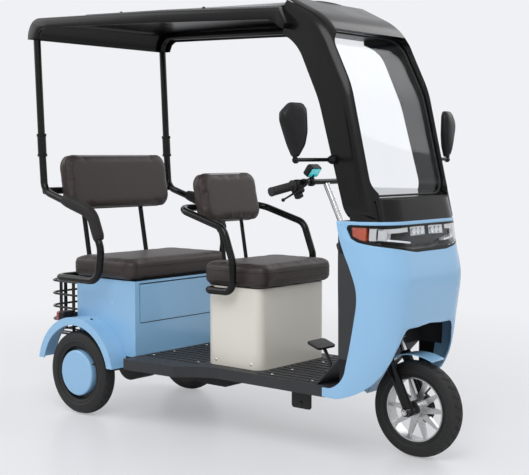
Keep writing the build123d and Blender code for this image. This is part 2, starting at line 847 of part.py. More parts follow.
# Fork, handlebar and what rides on them
def fork():
    legs = None
    for side in (-1, 1):
        slider = Pos(fork_offset, side * fork_half_width, slider_length / 2) * Cylinder(slider_radius,
                                                                                      slider_length)
        stanchion = (Pos(fork_offset, side * fork_half_width, crown_length / 2)
                     * Cylinder(stanchion_radius, crown_length))
        leg = slider + stanchion
        legs = leg if legs is None else legs + leg
    crown = Pos(fork_offset / 2, 0, crown_length) * Box(stanchion_radius * 2 + fork_offset * 2,
                                                       2 * (fork_half_width + stanchion_radius),
                                                       crown_height)
    steerer = (Pos(0, 0, (crown_length + steerer_length) / 2)
               * Cylinder(steerer_radius, steerer_length - crown_length))
    axle = Pos(fork_offset, 0, 0) * Rot(X=90) * Cylinder(front_axle_radius,
                                                       2 * (fork_half_width + slider_radius))
    return on_steering(legs + crown + steerer + axle)


nodes["fork"] = fork()


def handlebar():
    stem_top = steerer_length
    points = [(0, 0, stem_top + handlebar_radius), (0, handlebar_half_width * bar_bend_share,
                                                    stem_top + handlebar_radius),
              (-handlebar_sweep, handlebar_half_width, stem_top + handlebar_rise)]
    half = bent_tube(points, handlebar_sweep, handlebar_radius)
    return on_steering(both_sides(half))


bar_bend_share = 0.42
nodes["handlebar"] = handlebar()

# Front mudguard
mudguard_radius = 214.0
mudguard_wall = 4.0
mudguard_half = 42.7
mudguard_rear_angle = 170.0
mudguard_sweep = 104.0


def mudguard():
    section = make_face(Polyline((mudguard_radius - mudguard_wall, -mudguard_half),
                                 (mudguard_radius, -mudguard_half), (mudguard_radius, mudguard_half),
                                 (mudguard_radius - mudguard_wall, mudguard_half), close=True))
    arc = revolve(section, Axis.Y, mudguard_sweep)
    return Pos(wheelbase, 0, axle_height) * Rot(Y=-mudguard_rear_angle) * arc


nodes["front_mudguard"] = mudguard()


# Mirrors
def mirror_head(side):
    head = Box(mirror_thickness, 2 * mirror_half_width, 2 * mirror_half_height)
    head = fillet(head.edges().filter_by(Axis.X), mirror_half_width * mirror_round_share)
    return Pos(mirror_x, side * mirror_y, mirror_z) * head


mirror_round_share = 0.6
nodes["mirror_heads"] = mirror_head(1) + mirror_head(-1)
stem_z = mirror_z - mirror_half_height - mirror_stem_radius - seat_gap
nodes["mirror_stems"] = both_sides(bar((mirror_x, mirror_y, stem_z), (mirror_x, frame_half_width + seat_gap, stem_z),
                                       mirror_stem_radius))


# Wire basket behind the body
def body_rear_at(z):
    chamfer_top = body_bottom + body_chamfer_height
    if z >= chamfer_top:
        return body_rear_x
    return body_rear_x + body_chamfer_depth * (chamfer_top - z) / body_chamfer_height


def basket():
    wires = None
    for index in range(basket_loops):
        z = basket_bottom + (basket_top - basket_bottom) * index / (basket_loops - 1)
        half = bent_tube([(basket_rear_x, 0, z), (basket_rear_x, basket_half_width, z),
                          (body_rear_at(z + wire_radius) - seat_gap, basket_half_width, z)], post_bend, wire_radius)
        wires = half if wires is None else wires + half
    for share in basket_rear_strap_shares:
        y = basket_half_width * share
        wires += block(basket_rear_x - strap_thickness / 2, basket_rear_x + strap_thickness / 2,
                       y - strap_width / 2, y + strap_width / 2, basket_bottom, basket_top)
    for share in basket_side_strap_shares:
        x = basket_rear_x + (body_rear_x - basket_rear_x) * share
        wires += block(x - strap_width / 2, x + strap_width / 2, basket_half_width - strap_thickness / 2,
                       basket_half_width + strap_thickness / 2, basket_bottom, basket_top)
    for share in basket_floor_wire_shares:
        y = basket_half_width * share
        front_x = body_rear_at(basket_bottom + wire_radius) - seat_gap
        wires += bar((basket_rear_x, y, basket_bottom), (front_x, y, basket_bottom),
                     wire_radius * floor_wire_share)
    return both_sides(wires)


strap_width = 18.0
strap_thickness = 4.0
floor_wire_share = 0.8
basket_rear_strap_shares = (0.3, 0.62)
basket_side_strap_shares = (0.42, 0.8)
basket_floor_wire_shares = (0.12, 0.37, 0.62, 0.85)
nodes["rear_basket"] = basket()

os.makedirs("parts", exist_ok=True)
for node, shape in nodes.items():
    export_step(Pos(-origin_shift, 0, 0) * shape, f"parts/{node}.step")
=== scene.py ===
import json
import math

import bmesh
import bpy
from mathutils import Matrix, Vector
from mathutils.bvhtree import BVHTree


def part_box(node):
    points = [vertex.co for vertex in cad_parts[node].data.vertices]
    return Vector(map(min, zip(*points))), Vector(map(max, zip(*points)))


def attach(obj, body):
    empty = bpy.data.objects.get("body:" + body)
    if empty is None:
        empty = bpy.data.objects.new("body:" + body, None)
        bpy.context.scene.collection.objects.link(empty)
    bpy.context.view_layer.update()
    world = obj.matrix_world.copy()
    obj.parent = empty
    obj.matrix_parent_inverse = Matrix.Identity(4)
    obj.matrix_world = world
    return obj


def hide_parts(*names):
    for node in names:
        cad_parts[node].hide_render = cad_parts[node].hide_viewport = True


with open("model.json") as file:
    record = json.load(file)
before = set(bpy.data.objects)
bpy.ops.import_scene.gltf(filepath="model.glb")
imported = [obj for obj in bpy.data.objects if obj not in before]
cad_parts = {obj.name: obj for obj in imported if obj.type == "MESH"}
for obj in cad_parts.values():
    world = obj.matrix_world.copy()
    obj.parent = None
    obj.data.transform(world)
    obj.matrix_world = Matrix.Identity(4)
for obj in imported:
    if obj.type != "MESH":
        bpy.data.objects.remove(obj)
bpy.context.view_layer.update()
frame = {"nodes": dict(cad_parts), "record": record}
scene = bpy.context.scene
nodes = frame["nodes"]
wheelLow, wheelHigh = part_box("front_tyre")
wheelbase = 1.53
cadShift = wheelbase - (wheelLow[0] + wheelHigh[0]) / 2
print("frame loaded:", len(nodes), "nodes")


# Shader expressions: a socket that can be added, multiplied and so on
class Wire:
    def __init__(self, tree, socket):
        self.tree = tree
        self.socket = socket

    def maths(self, operation, other, swapped=False):
        node = self.tree.nodes.new("ShaderNodeMath")
        node.operation = operation
        pair = (other, self) if swapped else (self, other)
        for target, value in zip(node.inputs, pair):
            feed(self.tree, target, value)
        return Wire(self.tree, node.outputs[0])

    def __add__(self, other):
        return self.maths("ADD", other)

    def __radd__(self, other):
        return self.maths("ADD", other, True)

    def __sub__(self, other):
        return self.maths("SUBTRACT", other)

    def __rsub__(self, other):
        return self.maths("SUBTRACT", other, True)

    def __mul__(self, other):
        return self.maths("MULTIPLY", other)

    def __rmul__(self, other):
        return self.maths("MULTIPLY", other, True)


def feed(tree, target, value):
    if isinstance(value, Wire):
        tree.links.new(value.socket, target)
    else:
        target.default_value = value


class Finish:
    # A material whose shader constants are set first; what varies is linked afterwards.
    def __init__(self, name, constants):
        self.material = bpy.data.materials.new(name)
        self.material.use_nodes = True
        self.tree = self.material.node_tree
        self.shader = self.tree.nodes["Principled BSDF"]
        for socketName, value in constants.items():
            self.shader.inputs[socketName].default_value = value

    def node(self, kind, settings=None, inputs=None, output=0):
        made = self.tree.nodes.new(kind)
        for key, value in (settings or {}).items():
            if key == "stops":
                setStops(made.color_ramp, value)
            else:
                setattr(made, key, value)
        for key, value in (inputs or {}).items():
            feed(self.tree, made.inputs[key], value)
        return Wire(self.tree, made.outputs[output])

    def place(self):
        return self.node("ShaderNodeTexCoord", output="Object")

    def noise(self, scale, detail=2.0, stretch=None):
        spot = self.place()
        if stretch:
            spot = self.node("ShaderNodeVectorMath", {"operation": "MULTIPLY"}, {0: spot, 1: stretch})
        return self.node("ShaderNodeTexNoise", {}, {"Vector": spot, "Scale": scale, "Detail": detail})

    def ramp(self, source, stops):
        return self.node("ShaderNodeValToRGB", {"stops": stops}, {"Fac": source})

    def blendColours(self, factor, low, high):
        return self.node("ShaderNodeMix", {"data_type": "RGBA"}, {0: factor, 6: low, 7: high}, output=2)

    def bump(self, height, strength, distance):
        return self.node("ShaderNodeBump", {}, {"Height": height, "Strength": strength,
                                                "Distance": distance})

    def into(self, **links):
        names = {"colour": "Base Color", "rough": "Roughness", "normal": "Normal", "glow": "Emission Color"}
        for key, value in links.items():
            feed(self.tree, self.shader.inputs[names[key]], value)
        return self.material


def setStops(ramp, stops):
    while len(ramp.elements) < len(stops):
        ramp.elements.new(1.0)
    for element, (position, colour) in zip(ramp.elements, stops):
        element.position = position
        element.color = colour


def grey(level):
    return (level, level, level, 1.0)


# Finishes of the vehicle
def paintedPlastic(name, base, deep, rough, coat=0.6):
    f = Finish(name, {"Coat Roughness": 0.05, "Coat Weight": coat, "IOR": 1.5})
    cloud = f.noise(2.2, 3.0)
    grime = f.noise(9.0, 2.0)
    peel = f.noise(90.0, 1.0)
    colour = f.blendColours(cloud * 0.55, base, deep)
    return f.into(colour=colour, rough=grime * 0.05 + (rough - 0.025),
                  normal=f.bump(peel, 0.02, 0.0002))


def powderBlack(name, base, rough, grain=650.0, strength=0.12):
    f = Finish(name, {"Coat Roughness": 0.08, "Coat Weight": 0.08, "Specular IOR Level": 0.2})
    cloud = f.noise(9.0, 3.0)
    fine = f.noise(grain, 2.0)
    colour = f.blendColours(cloud, grey(base * 0.8), grey(base * 1.25))
    return f.into(colour=colour, rough=cloud * 0.12 + (rough - 0.06), normal=f.bump(fine, strength, 0.0004))


def mouldedPlastic(name, base, rough):
    f = Finish(name, {"Coat Weight": 0.0, "Specular IOR Level": 0.22})
    cells = f.node("ShaderNodeTexVoronoi", {}, {"Vector": f.place(), "Scale": 520.0})
    dust = f.noise(5.0, 4.0)
    low = tuple(level * 0.85 for level in base) + (1.0,)
    high = tuple(min(1.0, level * 1.2) for level in base) + (1.0,)
    return f.into(colour=f.blendColours(dust, low, high), rough=dust * 0.14 + (rough - 0.07),
                  normal=f.bump(cells, 0.22, 0.0005))


def leather(name):
    f = Finish(name, {"Coat Weight": 0.05, "Coat Roughness": 0.3, "Sheen Weight": 0.02,
                      "Specular IOR Level": 0.35})
    grain = f.node("ShaderNodeTexVoronoi", {"feature": "DISTANCE_TO_EDGE"},
                   {"Vector": f.place(), "Scale": 330.0})
    creases = f.noise(60.0, 6.0)
    patch = f.noise(4.0, 3.0)
    colour = f.blendColours(patch, (0.027, 0.019, 0.017, 1.0), (0.044, 0.032, 0.029, 1.0))
    height = f.ramp(grain, ((0.0, grey(0.0)), (0.18, grey(1.0)))) * 0.7 + creases * 0.3
    return f.into(colour=colour, rough=creases * 0.16 + 0.40, normal=f.bump(height, 0.28, 0.0006))


def rubber(name, base, rough):
    f = Finish(name, {"Specular IOR Level": 0.35})
    dust = f.noise(14.0, 5.0)
    fine = f.noise(380.0, 2.0)
    return f.into(colour=f.blendColours(dust, grey(base), grey(base * 1.9)), rough=dust * 0.15 + rough,
                  normal=f.bump(fine, 0.2, 0.0005))


def castAlloy(name, base, rough):
    f = Finish(name, {"Metallic": 1.0})
    cloud = f.noise(30.0, 3.0)
    brush = f.noise(700.0, 1.0, stretch=(1.0, 0.05, 1.0))
    return f.into(colour=f.blendColours(cloud, grey(base * 0.82), grey(base)), rough=cloud * 0.14 + rough,
                  normal=f.bump(brush, 0.06, 0.0003))


def clearPane(name, tint):
    f = Finish(name, {"Transmission Weight": 1.0, "IOR": 1.18, "Specular IOR Level": 0.5})
    smear = f.noise(3.0, 4.0, stretch=(1.0, 1.0, 0.4))
    return f.into(colour=f.blendColours(smear, tint, grey(1.0)), rough=smear * 0.03)


def colouredLens(name, base, deep):
    f = Finish(name, {"Coat Weight": 1.0, "Coat Roughness": 0.03, "Subsurface Weight": 0.0})
    ribs = f.node("ShaderNodeTexWave", {"wave_type": "BANDS", "bands_direction": "Z"},
                  {"Vector": f.place(), "Scale": 90.0, "Distortion": 0.0})
    cloud = f.noise(30.0, 2.0)
    return f.into(colour=f.blendColours(ribs * 0.5 + cloud * 0.4, deep, base), rough=cloud * 0.1 + 0.12,
                  normal=f.bump(ribs, 0.25, 0.0008))


def litScreen(name):
    f = Finish(name, {"Roughness": 0.15, "Coat Weight": 1.0, "Emission Strength": 0.7})
    cells = f.node("ShaderNodeTexBrick", {"offset": 0.0},
                   {"Vector": f.place(), "Scale": 60.0, "Mortar Size": 0.03, "Color1": (0.01, 0.50, 0.55, 1.0),
                    "Color2": (0.02, 0.62, 0.66, 1.0), "Mortar": (0.01, 0.16, 0.20, 1.0)})
    return f.into(colour=cells, glow=cells)


# The first fifteen carry the names of the record's slots
finishes = {
    "blue_body": paintedPlastic("skyBluePaint", (0.300, 0.560, 0.830, 1.0), (0.270, 0.525, 0.800, 1.0), 0.26),
    "black_tube": powderBlack("glossTubePaint", 0.006, 0.16, 300.0, 0.04),
    "black_gloss": powderBlack("glossBlackPanel", 0.005, 0.24, 240.0, 0.05),
    "grey_plastic": mouldedPlastic("floorGreyPlastic", (0.040, 0.041, 0.044), 0.55),
    "black_plastic": mouldedPlastic("softBlackPlastic", (0.010, 0.010, 0.011), 0.42),
    "cream_box": paintedPlastic("creamBoxPaint", (0.80, 0.77, 0.69, 1.0), (0.76, 0.73, 0.65, 1.0), 0.34, 0.35),
    "seat_leather": leather("brownSeatLeather"),
    "clear_glass": clearPane("screenGlass", (0.93, 0.97, 0.99, 1.0)),
    "tyre": rubber("tyreRubber", 0.014, 0.55),
    "cast_rim": castAlloy("polishedCastRim", 0.55, 0.22),
    "dark_rim": powderBlack("darkRimPaint", 0.02, 0.35),
    "fork_steel": castAlloy("polishedForkSteel", 0.70, 0.12),
    "frame_paint": powderBlack("framePaint", 0.018, 0.42),
    "spring_steel": castAlloy("springSteel", 0.30, 0.38),
    "battery_case": mouldedPlastic("batteryCase", (0.03, 0.03, 0.032), 0.5),
    "amber_lens": colouredLens("amberLens", (0.62, 0.075, 0.006, 1.0), (0.36, 0.035, 0.004, 1.0)),
    "red_lens": colouredLens("redLens", (0.50, 0.012, 0.012, 1.0), (0.25, 0.008, 0.008, 1.0)),
    "clear_lens": clearPane("lampCover", (0.96, 0.98, 1.0, 1.0)),
    "rubber_grip": rubber("gripRubber", 0.018, 0.6),
    "mirror_glass": castAlloy("mirrorSilver", 0.86, 0.03),
    "seam": leather("seamLeather"),
    "softPad": mouldedPlastic("softArmPad", (0.020, 0.018, 0.018), 0.62),
    "lampWhite": paintedPlastic("lampWhitePlastic", (0.88, 0.90, 0.92, 1.0), (0.80, 0.83, 0.86, 1.0), 0.15,
                                1.0),
    "screen": litScreen("cyanScreen"),
    "switchGrey": mouldedPlastic("switchGreyPlastic", (0.20, 0.20, 0.21), 0.45),
}
for entry in frame["record"]["subparts"]:
    piece = nodes[entry["node"]]
    piece.data.materials.clear()
    piece.data.materials.append(finishes[entry["material_slot"]])
print("finishes:", len(finishes))


# Mesh helpers
def addPiece(name, bodyName, finish, verts, faces, smooth=True):
    mesh = bpy.data.meshes.new(name)
    mesh.from_pydata([tuple(v) for v in verts], [], faces)
    mesh.update()
    piece = bpy.data.objects.new(name, mesh)
    scene.collection.objects.link(piece)
    if smooth:
        mesh.polygons.foreach_set("use_smooth", [True] * len(mesh.polygons))
    mesh.materials.append(finish)
    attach(piece, bodyName)
    return piece


def addParts(name, bodyName, finishName, parts, sharp=None, smooth=True):
    # One piece out of closed parts; edges steeper than the sharp angle stay hard.
    verts, faces = joinParts(parts)
    piece = addPiece(name, bodyName, finishes[finishName], verts, faces, smooth)
    if sharp:
        piece.data.set_sharp_from_angle(angle=math.radians(sharp))
    return piece


def middleOf(nodeName):
    # Middle and half sizes of a node's box.
    low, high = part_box(nodeName)
    return (Vector(low) + Vector(high)) / 2, [(b - a) / 2 for a, b in zip(low, high)]


def applyModifiers(piece):
    graph = bpy.context.evaluated_depsgraph_get()
    mesh = bpy.data.meshes.new_from_object(piece.evaluated_get(graph), depsgraph=graph)
    piece.modifiers.clear()
    piece.data = mesh


def frameAlong(direction, hint=Vector((0.0, 1.0, 0.0))):
    w = direction.normalized()
    u = hint - w * hint.dot(w)
    if u.length < 1e-6:
        u = w.orthogonal()
    u.normalize()
    return u, w.cross(u), w


def sweepRings(rings, closedEnds=True):
    # Joins equal rings of points into one skin, with a fan at each end.
    verts = [point for ring in rings for point in ring]
    count = len(rings[0])
    faces = []
    for i in range(len(rings) - 1):
        for j in range(count):
            k = (j + 1) % count
            faces.append((i * count + j, i * count + k, (i + 1) * count + k, (i + 1) * count + j))
    if closedEnds:
        for start, flip in ((0, True), ((len(rings) - 1) * count, False)):
            middle = sum((verts[start + j] for j in range(count)), Vector()) / count
            verts.append(middle)
            hub = len(verts) - 1
            for j in range(count):
                k = (j + 1) % count
                faces.append((start + k, start + j, hub) if flip else (start + j, start + k, hub))
    return verts, faces


def lathe(profile, centre, direction, sides=24):
    # Profile of (distance along, radius), turned about the direction.
    u, v, w = frameAlong(direction)
    rings = []
    for along, radius in profile:
        rings.append([centre + w * along + (u * math.cos(a) + v * math.sin(a)) * radius
                      for a in (2 * math.pi * j / sides for j in range(sides))])
    return sweepRings(rings)


def roundBolt(centre, direction, radius, height):
    # A domed head with a hexagon socket, on a thin washer.
    profile = ((0.0, radius * 1.45), (height * 0.22, radius * 1.45), (height * 0.22, radius),
               (height * 0.75, radius * 0.95), (height, radius * 0.72), (height, radius * 0.42),
               (height * 0.45, radius * 0.40), (height * 0.45, 0.0003))
    return lathe(profile, centre, direction, 18)


def joinParts(parts):
    verts = []
    faces = []
    for partVerts, partFaces in parts:
        base = len(verts)
        verts += partVerts
        faces += [tuple(base + index for index in face) for face in partFaces]
    return verts, faces


def roundedOutline(halfWide, halfTall, corner, steps=8):
    points = []
    for sx, sy, start in ((1, 1, 0.0), (-1, 1, 0.5), (-1, -1, 1.0), (1, -1, 1.5)):
        for i in range(steps + 1):
            angle = math.pi * (start + 0.5 * i / steps)
            points.append((sx * (halfWide - corner) + corner * math.cos(angle),
                           sy * (halfTall - corner) + corner * math.sin(angle)))
    return points


def smoothPath(points, steps=10):
    # Catmull-Rom line through the points.
    points = [Vector(p) for p in points]
    ends = [points[0] * 2 - points[1]] + points + [points[-1] * 2 - points[-2]]
    line = []
    for i in range(1, len(ends) - 2):
        a, b, c, d = ends[i - 1:i + 3]
        for step in range(steps):
            t = step / steps
            line.append((b * 2 + (c - a) * t + (a * 2 - b * 5 + c * 4 - d) * t * t
                         + (b * 3 - a - c * 3 + d) * t * t * t) / 2)
    line.append(points[-1])
    return line


def tubeAlong(line, radius, sides=12):
    rings = []
    for i, point in enumerate(line):
        ahead = line[min(i + 1, len(line) - 1)] - line[max(i - 1, 0)]
        u, v = frameAlong(ahead)[:2]
        size = radius(i / (len(line) - 1)) if callable(radius) else radius
        rings.append([point + (u * math.cos(a) + v * math.sin(a)) * size
                      for a in (2 * math.pi * j / sides for j in range(sides))])
    return sweepRings(rings)


# Solid helpers, in millimetres ahead of the rear axle
xWay, yWay, zWay = Vector((1.0, 0.0, 0.0)), Vector((0.0, 1.0, 0.0)), Vector((0.0, 0.0, 1.0))


def real(x, y, z):
    return Vector((x / 1000.0 - cadShift, y / 1000.0, z / 1000.0))


def loose(verts, faces):
    mesh = bpy.data.meshes.new("tool")
    mesh.from_pydata([tuple(v) for v in verts], [], faces)
    mesh.update()
    tool = bpy.data.objects.new("tool", mesh)
    scene.collection.objects.link(tool)
    return tool


def prism(outline, axis, low, high):
    # A straight solid whose section is the outline: (x, z) along Y, (y, z) along X, (x, y) along Z.
    count = len(outline)
    verts = []
    for level in (low, high):
        for a, b in outline:
            if axis == "Y":
                verts.append(real(a, level, b))
            elif axis == "X":
                verts.append(real(level, a, b))
            else:
                verts.append(real(a, b, level))
    faces = [tuple(range(count)), tuple(range(2 * count - 1, count - 1, -1))]
    for j in range(count):
        k = (j + 1) % count
        faces.append((k, j, count + j, count + k))
    return solid(verts, faces)


def box(x0, x1, y0, y1, z0, z1):
    return prism([(x0, z0), (x1, z0), (x1, z1), (x0, z1)], "Y", y0, y1)


def solid(verts, faces):
    # A closed solid whose faces all point outward.
    tool = loose(verts, faces)
    mesh = bmesh.new()
    mesh.from_mesh(tool.data)
    bmesh.ops.remove_doubles(mesh, verts=mesh.verts, dist=0.00001)
    bmesh.ops.recalc_face_normals(mesh, faces=mesh.faces)
    mesh.to_mesh(tool.data)
    mesh.free()
    return tool


def carve(target, tool, operation="DIFFERENCE"):
    # Cuts, joins or clips the target with the tool, which is used up.
    cut = target.modifiers.new("cut", "BOOLEAN")
    cut.operation = operation
    cut.solver = "EXACT"
    cut.object = tool
    bpy.context.view_layer.update()
    applyModifiers(target)
    bpy.data.objects.remove(tool)
    return target


def dress(tool, name, bodyName, finish, bevel=0.0, angle=32.0):
    # Turns a finished solid into a named piece with soft edges.
    if bevel:
        edge = tool.modifiers.new("edge", "BEVEL")
        edge.width = bevel
        edge.segments = 2
        edge.limit_method = "ANGLE"
        edge.angle_limit = math.radians(40.0)
        edge.use_clamp_overlap = True
        applyModifiers(tool)
    tool.name = name
    tool.data.name = name
    tool.data.polygons.foreach_set("use_smooth", [True] * len(tool.data.polygons))
    tool.data.set_sharp_from_angle(angle=math.radians(angle))
    tool.data.materials.clear()
    tool.data.materials.append(finish)
    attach(tool, bodyName)
    return tool


def soften(tool, width, segments):
    # Rounds the sharp edges of a solid; the width is in millimetres.
    edge = tool.modifiers.new("soft", "BEVEL")
    edge.width = width / 1000.0
    edge.segments = segments
    edge.limit_method = "ANGLE"
    edge.angle_limit = math.radians(50.0)
    applyModifiers(tool)
    return tool


def curveTable(table, share, column):
    # Smooth value of a column of the table at a share of its first column.
    rows = [Vector((row[0], row[column], 0.0)) for row in table]
    line = smoothPath(rows, 16)
    for low, high in zip(line, line[1:]):
        if low.x <= share <= high.x and high.x > low.x:
            return low.y + (high.y - low.y) * (share - low.x) / (high.x - low.x)
    return line[-1].y if share > line[-1].x else line[0].y


def flatCurve(points, steps=8):
    return [(p.x, p.y) for p in smoothPath([Vector((a, b, 0.0)) for a, b in points], steps)]


# Nose: a rounded shell with a wheel arch and a lamp band
nose = {"half": 286.0, "front": 1602.0, "setback": 100.0, "length": 320.0, "depth": 422.0, "top": 905.0,
        "bottom": 238.0, "corner": 140.0, "wall": 6.0, "spare": 50.0,
        "lampBottom": 786.0, "lampTop": 893.0, "lampLength": 206.0, "lampDepth": 40.0, "lampRim": 8.0,
        "lampRound": (14.0, 4.0), "trayGap": 0.5, "coreShift": 5.0, "lensWall": 3.0, "lensGap": 0.8,
        "turnRear": 182.0, "turnFront": 128.0, "turnDepth": (5.0, 30.0), "turnGap": 1.2,
        # height share, half-width share, share of the setback
        "sections": ((0.0, 0.985, 1.0), (0.25, 0.985, 0.37), (0.49, 0.99, 0.12), (0.68, 1.0, 0.0),
                     (0.85, 1.0, 0.22), (1.0, 0.993, 0.36)),
        # share of the length behind the front, height share
        "rearLine": ((0.79, 1.0), (0.747, 0.91), (0.681, 0.828), (0.59, 0.736), (0.516, 0.64), (0.503, 0.556),
                     (0.5375, 0.454), (0.6, 0.304), (0.65, 0.205), (0.681, 0.145), (0.756, 0.096),
                     (0.869, 0.0645), (0.99, 0.06)),
        "lowerLine": ((0.99, 0.009), (0.7875, 0.0075), (0.616, 0.03), (0.481, 0.061), (0.409, 0.0825),
                      (0.3375, 0.109), (0.231, 0.175), (0.153, 0.27), (0.069, 0.423)),
        # share of the half width, height share
        "archLine": ((0.0, 0.421), (0.28, 0.409), (0.486, 0.384), (0.6, 0.349), (0.7, 0.27), (0.776, 0.175),
                     (0.843, 0.109), (0.888, 0.082), (0.94, 0.05), (0.97, -0.05)),
        "lampSide": ((0.9, 0.53), (0.76, 0.41), (0.475, 0.31), (-0.1, -0.09)),
        "lampFront": ((0.0, 0.0), (0.175, 0.0), (0.44, 0.075), (0.755, 0.215), (1.05, 0.36))}


def noseForm(inset, spill=0.0):
    # The nose's outer form, drawn in by the inset and let out at its open ends by the spill.
    levels = 40
    rings = []
    tall = nose["top"] - nose["bottom"]
    for i in range(levels + 1):
        share = i / levels
        z = nose["bottom"] + tall * share
        if i == 0:
            z -= spill
        if i == levels:
            z += spill
        half = nose["half"] * curveTable(nose["sections"], share, 1) - inset
        front = nose["front"] - nose["setback"] * curveTable(nose["sections"], share, 2) - inset
        corner = nose["corner"] - inset
        rear = nose["front"] - nose["depth"] - spill
        outline = [(rear, half)]
        for step in range(15):
            angle = math.pi / 2 * step / 14
            outline.append((front - corner + corner * math.sin(angle),
                            half - corner + corner * math.cos(angle)))
        outline += [(front, y * (half - corner)) for y in (0.6, 0.2)]
        outline += [(x, -y) for x, y in outline[::-1]]
        rings.append([real(x, y, z) for x, y in outline])
    return solid(*sweepRings(rings))


def lampBand(gap):
    # The lamps' outline seen from the side and from the front, drawn in by the gap.
    tall = nose["lampTop"] - nose["lampBottom"]
    rear = nose["front"] - nose["lampLength"] + gap
    top = nose["lampTop"] - gap
    far, near = nose["lampRound"]
    side = [(rear + far, top), (rear + near, top - near), (rear, top - far)]
    side += [(nose["front"] - nose["lampLength"] * back + gap, nose["lampBottom"] + tall * up + gap)
             for back, up in nose["lampSide"]]
    side.append((side[-1][0], top))
    wide = nose["half"] + nose["spare"]
    band = prism(side, "Y", -wide, wide)
    right = flatCurve([(nose["half"] * half, nose["lampBottom"] + tall * up + gap)
                       for half, up in nose["lampFront"]])
    low = [(-y, z) for y, z in right[::-1]] + right[1:]
    front = prism(low + [(low[-1][0], top + 0.01), (low[0][0], top + 0.01)], "X",
                  nose["front"] - nose["lampLength"] - 60.0, nose["front"] + 60.0)
    return carve(band, front, "INTERSECT")


def layer(front, back):
    return carve(noseForm(front), noseForm(back, 12.0))


def noseShell():
    shell = layer(0.0, nose["wall"])
    tall = nose["top"] - nose["bottom"]
    rear = flatCurve([(nose["front"] - nose["length"] * back, nose["bottom"] + tall * up)
                      for back, up in nose["rearLine"]])
    lower = flatCurve([(nose["front"] - nose["length"] * back, nose["bottom"] + tall * up)
                       for back, up in nose["lowerLine"]])
    wide, ahead = nose["half"] + nose["spare"], nose["front"] + nose["spare"]
    rear[0] = (rear[0][0], nose["top"] + 1.0)
    outline = rear + lower + [(ahead, lower[-1][1]), (ahead, nose["top"] + 1.0)]
    carve(shell, prism(outline, "Y", -wide, wide), "INTERSECT")
    right = flatCurve([(nose["half"] * half, nose["bottom"] + tall * up) for half, up in nose["archLine"]])
    arch = [(-y, z) for y, z in right[::-1]] + right[1:]
    carve(shell, prism(arch, "X", nose["front"] - nose["corner"] - nose["setback"] / 2 + nose["spare"], ahead))
    carve(shell, lampBand(0.0))
    piece = dress(shell, "noseShell", "chassis", finishes["blue_body"], 0.0014)
    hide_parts("nose_shell")
    rim, gap, shift = nose["lampRim"], nose["trayGap"], nose["coreShift"]
    tray = carve(layer(gap, nose["lampDepth"]), lampBand(gap), "INTERSECT")
    core = carve(layer(-shift, nose["lampDepth"] - shift), lampBand(gap + rim), "INTERSECT")
    carve(tray, core)
    piece = dress(tray, "lampTray", "chassis", finishes["black_gloss"], 0.0012)
    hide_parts("headlamp_housing")
    gap = nose["lensGap"]
    lens = carve(layer(gap, gap + nose["lensWall"]), lampBand(rim + gap), "INTERSECT")
    dress(lens, "lampLens", "chassis", finishes["clear_lens"])
    amber = carve(layer(*nose["turnDepth"]), lampBand(rim + nose["turnGap"]), "INTERSECT")
    carve(amber, box(nose["front"] - nose["turnRear"], nose["front"] - nose["turnFront"], -wide, wide,
                     nose["lampBottom"] - 5.0, nose["lampTop"] + 5.0), "INTERSECT")
    dress(amber, "turnLenses", "chassis", finishes["amber_lens"], 0.001)
    print("nose ready")


noseShell()


